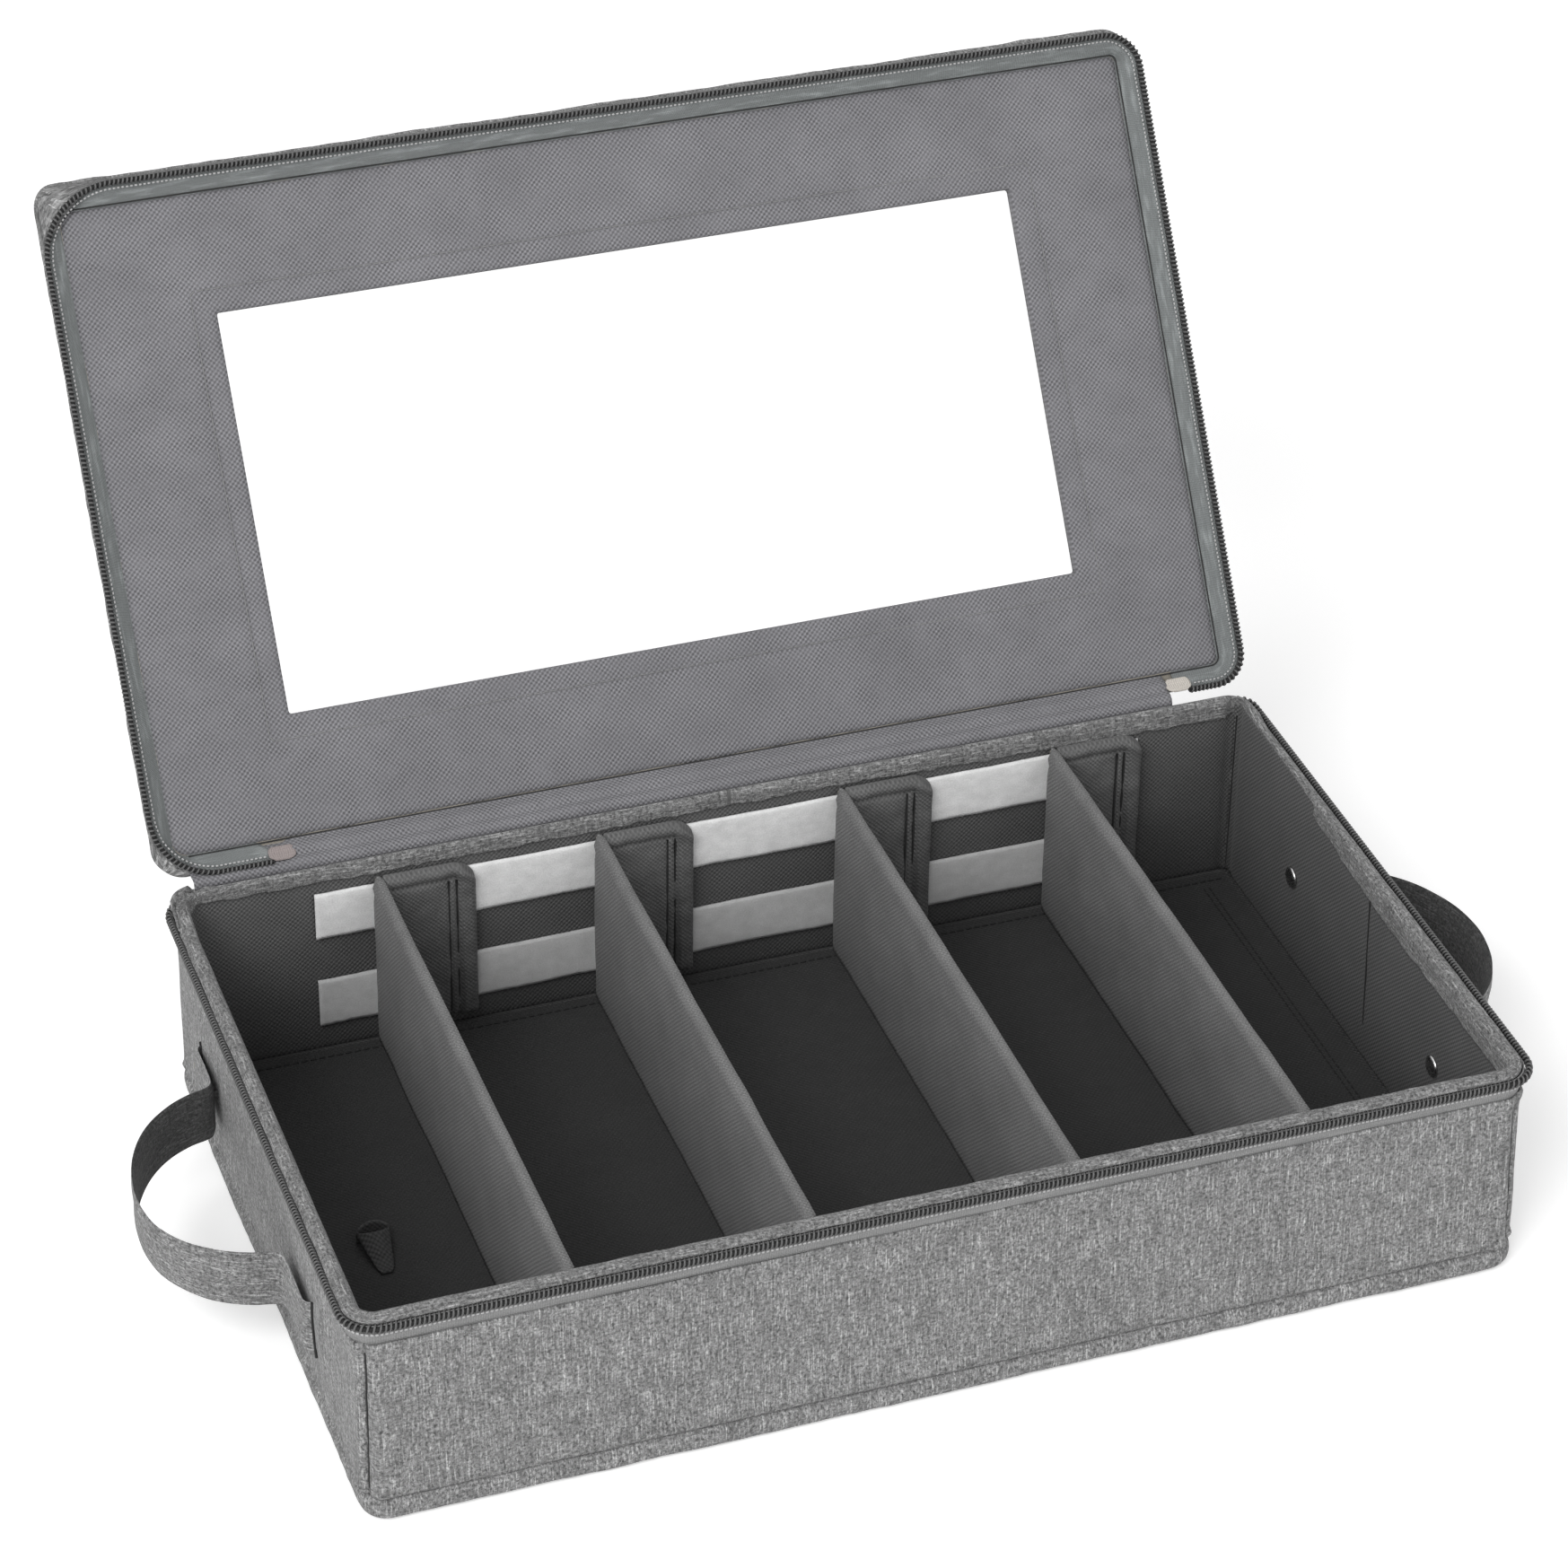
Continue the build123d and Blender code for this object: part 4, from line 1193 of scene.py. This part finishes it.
def slit_edges(name, side, z_mid, half):
    """Dark upright cords, painted shade of the slits that a strap's ends go into."""
    z = np.linspace(z_mid - half, z_mid + half, 18)
    lines = []
    for slit, end in zip(SLITS[name], (1, -1)):
        y = end * (slit + 0.7)
        s = (left_start - y if side < 0 else right_start + y) + half_y - corner_r + 0 * z
        out = flare(s, z) + wall_wave(s, z) + slit_lumps(s, z) + 0.35
        lines.append((wall.points(s, out, z), (1, 0, 0)))
    cord(f"{name}_handle_slits", lines, Cloths.dark_thread_and_painted_shade, 0.5, "base")


def rivets(name, side):
    """Two rivets per handle: a flat flange outside and a domed head inside."""
    rivet_y = 58.5
    inner = abs(box_mm(f"{name}_handle_rivets")[0 if side > 0 else 1][0]) - 0.15
    profile = np.array([(0.0, 0.0), (2.0, 0.0), (3.2, 0.15), (3.9, 0.55), (4.1, 1.0), (4.0, 1.3), (1.5, 1.3),
                        (1.5, 7.2), (4.0, 7.2), (4.0, 7.6), (0.0, 7.6)])
    radius = np.maximum(profile[:, :1], 0.01)
    turn = np.linspace(0, math.tau, 28, endpoint=False)
    rings = []
    for sign in (1, -1):
        x = side * (inner + profile[:, 1:])
        ring = stacked(x, sign * rivet_y + radius * np.cos(turn), strap_z + radius * np.sin(turn))
        rings.append(ring.reshape(-1, 3))
    points = np.concatenate(rings)
    one = quads(len(profile), len(turn), False, True)
    faces = facing_out(points, np.concatenate([one, one + len(rings[0])]))
    piece = mesh_object(f"{name}_rivet_pair", points, faces, points[:, [1, 2]], [Cloths.rivet])
    place(piece, "base", f"{name}_handle_rivets")


# ---------------------------------------------------------------- lid, worked out shut and then opened
def lid_skirt(s):
    """The lid's upright side: three rows at the coil, then rows of offsets and heights above them."""
    nx, ny = lid_edge.facing(s)
    front, left = np.clip(-ny, 0, 1) ** 2, np.clip(-nx, 0, 1) ** 2
    z0, tall = lid_low[2], lid_high[2] - lid_low[2]
    near_x, near_y = lid_rim.plan(matched(s, lid_edge, lid_rim), np.array([[0.3, 1.3, 2.0]]))
    near_z = lid_coil_z + np.array([[2.6, 1.2, 1.5]]) + corner_lift(near_x, near_y)
    skirt = np.array([(1.9, 2.3), (2.2, 3.4), (1.9, 4.8), (1.4, 6.2), (0.7, 7.4), (-0.4, 8.1), (-1.8, 8.43)])
    out = skirt[:, 0][None] + 0 * s
    z = z0 + skirt[:, 1][None] * tall / 8.43 + 0 * s
    puff = 3.0 * front + 0.6 * left + 0.5 * ripple(s, z, 26, 10, 111) + 0.25 * ripple(s, z, 6, 8, 112)
    out = out + puff * np.sin(np.pi * np.clip((z - z0) / tall, 0, 1))
    x_edge, _ = lid_edge.plan(s)
    out = out - 1.6 * ease((x_edge - slider_x + 15) / 9) * ease(ny)  # room for the slider and its run
    return (near_x, near_y, near_z), (*lid_edge.plan(s, out), z)


def lid_cover():
    """Outer cloth of the lid: folded edge at the coil, skirt, rounded edge and top, up to the window."""
    s = lid_edge.steps(0, lid_edge.length, 2.4, 0.8)[:-1, None]
    near, side = lid_skirt(s)
    t = np.linspace(0, 1, 17)[None, 1:]
    corners = [edge[:, -1:] for edge in side[:2]]
    inner = window_line.plan(matched(s, lid_edge, window_line))
    x, y = (a + (b - a) * t for a, b in zip(corners, inner))
    z = lid_high[2] + 0.35 * np.sin(np.pi * t) * ripple(x, y, 60, 60, 113)
    lip = (x[:, -1:], y[:, -1:], 0 * s + lid_high[2] - 1.1)
    x, y, z = (np.concatenate(rows, 1) for rows in zip(near, side, (x, y, z), lip))
    rows = near[0].shape[1] + side[0].shape[1]
    legs = np.sqrt(np.diff(x) ** 2 + np.diff(y) ** 2 + np.diff(z) ** 2)
    run = np.concatenate([0 * s, np.cumsum(legs, 1)], 1)[:, :rows]
    uv = np.concatenate([stacked(s, run), stacked(x, y)[:, rows:]], 1)
    piece = cloth("lid_cover_cloth", opened(stacked(x, y, z)), uv, cover_thick, [Cloths.outer], wrap=True)
    place(piece, "lid", "lid_cover")


def lid_lining():
    """Soft lining inside the lid, from the zip tape to the window."""
    s = lining_edge.steps(0, lining_edge.length, 2.2, 0.7)[:-1, None]
    t = np.linspace(0, 1, 26)[None]
    at_window = matched(s, lining_edge, window_line)
    x_out, y_out = lining_edge.plan(s)
    x_in, y_in = window_line.plan(at_window)
    x, y = x_out + (x_in - x_out) * t, y_out + (y_in - y_out) * t
    wide = np.hypot(x_in - x_out, y_in - y_out)
    sag = 0.8 * np.sin(np.pi * t) * (0.6 + 0.7 * ripple(x, y, 42, 30, 121)) + 0.15 * ripple(x, y, 12, 12, 122)
    stitched = 0.45 * hump((1 - t) * wide - 8.0, 1.1)
    rolled = 0.9 * np.exp(-t * wide / 1.2)
    z = lid_lining_low[2] - np.clip(sag, -0.2, 1.6) + stitched + rolled
    x_lip, y_lip = window_line.plan(at_window, -0.35)
    x = np.concatenate([x[:, :1], x, x_lip, x_lip], 1)
    y = np.concatenate([y[:, :1], y, y_lip, y_lip], 1)
    z = np.concatenate([z[:, :1] + 0.6, z, z[:, -1:] + 0.6, 0 * s + lid_high[2] - 1.2], 1)
    grid, uv = opened(stacked(x, y, z)), stacked(x, y)
    piece = cloth("lid_lining_cloth", grid, uv, lining_thick, [Cloths.lid_lining], wrap=True, flip=True)
    place(piece, "lid", "lid_lining")
    lid_lining_seams(lid_lining_low[2])


def lid_lining_seams(z):
    """A dark cord along the lining's edge, painted shade of the groove where the lining meets the tape, and
    the stitches round the window.
    """
    grooves = []
    for first, last in ((0, lining_edge.knots[1]), (lining_edge.knots[3], lining_edge.length)):
        around = lining_edge.points(lining_edge.steps(first, last, 3.0, 1.0), 0.25, z + 0.1)
        grooves.append((opened(around), lid_down))
    cord("lid_lining_groove", grooves, Cloths.dark_thread_and_painted_shade, 0.28, "lid")
    ring = Outline(window_x + 8, window_y + 8, 2.0)
    path = opened(ring.points(ring.steps(0, ring.length, 2.0, 0.8), 0, z - 0.35))
    stitches("lid_window_stitches", [(path, lid_down)], Cloths.soft_thread, "lid", 3.0, 0.8, 0.2)


def lid_tape():
    """Zip tape that slopes from the lining's edge out to the lid's coil."""
    start, end = tape_end_left, lid_rim.length - tape_end_right
    s = lid_rim.steps(start, end, 2.0, 0.8)[:, None]
    t = np.linspace(-0.12, 1, 11)[None]
    x_out, y_out = lid_rim.plan(s, 1.5)
    x_in, y_in = lining_edge.plan(matched(s, lid_rim, lining_edge))
    x, y = x_in + (x_out - x_in) * t, y_in + (y_out - y_in) * t
    z_in, z_out = lid_lining_low[2] + 0.6, lid_tape_low + 0.3 + corner_lift(x_out, y_out)
    z = z_in + (z_out - z_in) * t
    z = z - 0.5 * np.sin(np.pi * np.clip(t, 0, 1)) * (1 + 0.6 * ripple(s, 8 * t, 18, 6, 131))
    z = z + 0.15 * ripple(s, 8 * t, 5, 3, 132) + 0.35 * hump(t - 0.5, 0.07)
    grid, uv = opened(stacked(x, y, z)), stacked(s, 10 * t)
    piece = cloth("lid_tape_cloth", grid, uv, zip_thick, [Cloths.lid_tape])
    place(piece, "lid", "lid_zip_tape")
    lid_zip(start, end)


def lid_zip(start, end):
    """The lid's coil and the thread beads along it, both ending short of the end tabs."""
    s = np.arange(start + 5, end - 5, tooth_pitch / 9)
    z = lid_coil_z + corner_lift(*lid_rim.plan(s, coil_mid_out))
    coil_piece("lid_coil", lid_rim, s, coil_mid_out, z, "lid", "lid_zip_coil", opened)
    s = lid_rim.steps(start + 7, end - 7, 2.0, 0.8)
    z = lid_tape_low + 0.25 + corner_lift(*lid_rim.plan(s, 0.1))
    path = opened(lid_rim.points(s, 0.1, z))
    stitches("lid_coil_stitches", [(path, lid_down)], Cloths.thread, "lid", tooth_pitch, 0.6, 0.34)


def end_tabs():
    """Small folded tabs where the lid's zip tape ends."""
    tab_half = 4.8
    # The left tab takes the darker copy of the tab cloth: painted shade.
    ends = (("left", -1, tape_end_left, Cloths.shaded_left_tab), ("right", 1, tape_end_right, Cloths.end_tab))
    for name, side, tape_end, material in ends:
        u = np.linspace(-1, 1, 18)[:, None]
        t = np.linspace(0, 1, 14)[None]
        from_middle = np.clip(np.abs(t - 0.45) - 0.1, 0, 1) / 0.5
        half = tab_half * np.sqrt(np.clip(1 - from_middle ** 2, 0.05, 1))
        x = side * (tape_end + 1.5) + u * half
        y = half_y - lid_inset + 2.2 + 5.0 * t
        z = lid_lining_low[2] - 2.3 - 2.8 * ease(t / 0.95) + 0.2 * ripple(4 * u, 9 * t, 4, 4, 141)
        grid, uv = opened(stacked(x, y, z)), stacked(tab_half * u, 10 * t)
        piece = cloth(f"{name}_end_tab_cloth", grid, uv, zip_thick, [material], flip=True)
        place(piece, "lid", "lid_zip_end_tabs")


def hinge_section(base, lid, step):
    """Section (y, z) of a hinge strip, through points on the base and points of the shut lid."""
    lid_part = opened(np.array([(0, y, z) for y, z in lid]))[:, 1:]
    return curve_through(np.concatenate([base, lid_part]), step)


def hinge_inner():
    """The lining strip that shows between the back rim and the open lid."""
    x = np.linspace(-tape_end_left - 34, tape_end_right - 3, 214)[:, None]
    top = rim_z + back_rise
    base = [(half_y + 0.2, top - 2.8), (half_y + 0.5, top - 1.2), (half_y + 1.1, top - 0.1),
            (half_y + 2.4, top + 0.9)]
    lid = [(half_y + 1.0, lid_tape_low + 0.3), (half_y - 1.2, lid_tape_low + 0.6),
           (half_y - lid_inset + 0.8, lid_lining_low[2] - 0.2), (half_y - lid_inset, lid_lining_low[2] + 0.3)]
    section = hinge_section(base, lid, 0.8)
    run = run_length(section)[None]
    wave = 0.35 * ripple(x, run, 22, 7, 151) + 0.15 * ripple(x, run, 5, 4, 152)
    wave = wave * ease(run / 3) * ease((run[0, -1] - run) / 2)
    grid = stacked(x, section[:, 0][None] - 0.5 * wave, section[:, 1][None] + wave)
    behind = ease((-tape_end_left + 4 - x) / 5) * ease((run - 2.5) / 3)  # passes behind the left tape
    grid = grid - behind[..., None] * 1.6 * lid_down
    piece = cloth("hinge_inner_cloth", grid, stacked(x, run), hinge_thick, [Cloths.lid_lining])
    place(piece, None, "hinge_inner_strip")
    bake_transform(piece)


def hinge_outer():
    """The outer cloth strip from the back wall to the lid's skirt."""
    x = np.linspace(-hinge_half, hinge_half, 190)[:, None]
    _, y, z = hinge_line
    base = [(half_y + 0.9, rim_z - 11), (half_y + 1.0, rim_z - 6), (half_y + 1.6, rim_z - 2),
            (y - 0.3, z - 1.6), (y + 0.9, z - 0.9)]
    lid = [(half_y + 2.4, lid_low[2] + 1.2), (half_y + 2.8, lid_low[2] + 4), (half_y + 2.1, lid_high[2] - 2)]
    section = hinge_section(base, lid, 0.9)
    run = run_length(section)[None]
    wave = 0.25 * ripple(x, run, 20, 8, 153)
    grid = stacked(x, section[:, 0][None] + wave, section[:, 1][None] - 0.3 * wave)
    piece = cloth("hinge_outer_cloth", grid, stacked(x, run), hinge_thick, [Cloths.outer], flip=True)
    place(piece, None, "hinge_base_leaf", "hinge_lid_leaf")
    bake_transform(piece)


# ---------------------------------------------------------------- slider and pull
def bevelled(node, name, material, body, width, segments=3):
    """A finished copy of a hard CAD node with its edges softened."""
    source = frame["nodes"][node]
    mesh = source.data.copy()
    mesh.name = name
    mesh.materials.clear()
    mesh.materials.append(material)
    made = link(name, mesh)
    weld = made.modifiers.new("weld", "WELD")
    weld.merge_threshold = 1e-6
    bevel = made.modifiers.new("bevel", "BEVEL")
    bevel.width = width * MM
    bevel.segments = segments
    bevel.limit_method = "ANGLE"
    bevel.angle_limit = math.radians(35)
    bpy.context.view_layer.update()
    graph = bpy.context.evaluated_depsgraph_get()
    final = bpy.data.meshes.new_from_object(made.evaluated_get(graph))
    made.modifiers.clear()
    made.data = final
    final.polygons.foreach_set("use_smooth", [False] * len(final.polygons))
    return place(made, body, node)


def slider_and_pull():
    bevelled("zip_slider", "slider_metal", Cloths.steel, "zip_slider", 0.35)
    bevelled("zip_pull", "pull_metal", Cloths.steel, "zip_pull", 0.2, 2)


# ---------------------------------------------------------------- pieces kept from the frame
def carried_over():
    """CAD nodes that are shown as they are get real materials."""
    for name, node in frame["nodes"].items():
        if node.hide_render:
            continue
        material = Cloths.board
        if name == "lid_window":
            material = Cloths.film
        elif name == "bottom_lining":
            material = Cloths.under
        node.data.materials.clear()
        node.data.materials.append(material)


# ---------------------------------------------------------------- camera, light and floor
CAMERA_AZIMUTH, CAMERA_ELEVATION, CAMERA_ROLL = -19.955, 34.515, 0.919
CAMERA_TARGET = Vector((0.0, 0.0, 0.100))
CAMERA_SIDE, CAMERA_RISE, CAMERA_DISTANCE = -0.017739, 0.050446, 1.690414
CAMERA_LENS, CAMERA_SENSOR = 116.59, 36.0


def camera():
    a, e, r = (math.radians(v) for v in (CAMERA_AZIMUTH, CAMERA_ELEVATION, CAMERA_ROLL))
    back = Vector((math.sin(a) * math.cos(e), -math.cos(a) * math.cos(e), math.sin(e)))
    level = (-back).cross(Vector((0, 0, 1))).normalized()
    rise = level.cross(-back)
    right = level * math.cos(r) + rise * math.sin(r)
    up = rise * math.cos(r) - level * math.sin(r)
    data = bpy.data.cameras.new("view_camera")
    data.lens = CAMERA_LENS
    data.sensor_width = CAMERA_SENSOR
    data.clip_start, data.clip_end = 0.01, 50.0
    made = link("view_camera", data)
    turn = Matrix((right, up, back)).transposed().to_4x4()
    spot = CAMERA_TARGET + back * CAMERA_DISTANCE + right * CAMERA_SIDE + up * CAMERA_RISE
    made.matrix_world = Matrix.Translation(spot) @ turn
    bpy.context.scene.camera = made


def area_light(name, spot, aim, size, power):
    """A square lamp at spot that shines at aim and belongs to the stage."""
    data = bpy.data.lights.new(name, "AREA")
    data.shape = "SQUARE"
    data.size = size
    data.energy = power
    made = link(name, data)
    made.location = spot
    made.rotation_mode = "QUATERNION"
    made.rotation_quaternion = (Vector(spot) - Vector(aim)).to_track_quat("Z", "Y")


def surroundings():
    """White where it is seen straight or mirrored, dimmer as a light on the cloth."""
    world = bpy.data.worlds.new("studio")
    bpy.context.scene.world = world
    nodes = Nodes(world)
    rays = nodes.add("ShaderNodeLightPath").node.outputs
    mirrored = nodes.math("MAXIMUM", rays["Is Glossy Ray"], rays["Is Transmission Ray"])
    seen = nodes.math("MAXIMUM", rays["Is Camera Ray"], mirrored)
    fill = nodes.add("ShaderNodeBackground", {"Color": WHITE, "Strength": 0.55})
    white = nodes.add("ShaderNodeBackground", {"Color": WHITE, "Strength": 1.0})
    surface = nodes.add("ShaderNodeMixShader", {0: seen, 1: fill, 2: white})
    nodes.add("ShaderNodeOutputWorld", {"Surface": surface})


def studio_floor():
    """A wide near-white floor, lifted a little where the camera sees it."""
    half = 6.0  # metres
    mesh = bpy.data.meshes.new("studio_floor")
    corners = [(-half, -half, 0), (half, -half, 0), (half, half, 0), (-half, half, 0)]
    mesh.from_pydata(corners, [], [(0, 1, 2, 3)])
    paint = Paint("studio_white")
    grain = paint.noise(paint.place(400.0), 1.0)
    colour = paint.mix(grain, (0.93, 0.93, 0.93, 1), (0.95, 0.95, 0.95, 1))
    diffuse = paint.add("ShaderNodeBsdfDiffuse", {"Color": colour})
    seen = paint.add("ShaderNodeLightPath", output="Is Camera Ray")
    lift = paint.add("ShaderNodeEmission", {"Color": WHITE, "Strength": paint.times(seen, 0.32)})
    surface = paint.add("ShaderNodeAddShader", {0: diffuse, 1: lift})
    paint.add("ShaderNodeOutputMaterial", {"Surface": surface})
    mesh.materials.append(paint.material)
    link("studio_floor", mesh)


def studio():
    """White surroundings, a soft key from the upper left front and a plain floor."""
    surroundings()
    area_light("key_light", (-1.95, -1.75, 2.5), (0, 0, 0.05), 1.8, 76.0)
    area_light("front_light", (0.8, -2.6, 1.2), (0, 0, 0.08), 1.6, 16.0)
    studio_floor()
    bpy.context.scene.view_settings.view_transform = "Standard"


# ---------------------------------------------------------------- build
def build():
    bottom_cover()
    wall_cover("back_cover", -back_left - seam_arc, back_left + seam_arc)
    wall_cover("left_cover", back_left + seam_arc, front_start - seam_arc)
    wall_cover("front_cover", front_start - seam_arc, front_end + seam_arc)
    wall_cover("right_cover", front_end + seam_arc, wall.length - back_left - seam_arc)
    rim()
    base_zip()
    wall_linings()
    loop_strips()
    floor_insert()
    pull_tab()
    dividers()
    for side in (-1, 1):
        handle(side)
    lid_cover()
    lid_lining()
    lid_tape()
    end_tabs()
    hinge_inner()
    hinge_outer()
    slider_and_pull()
    carried_over()


build()
camera()
studio()
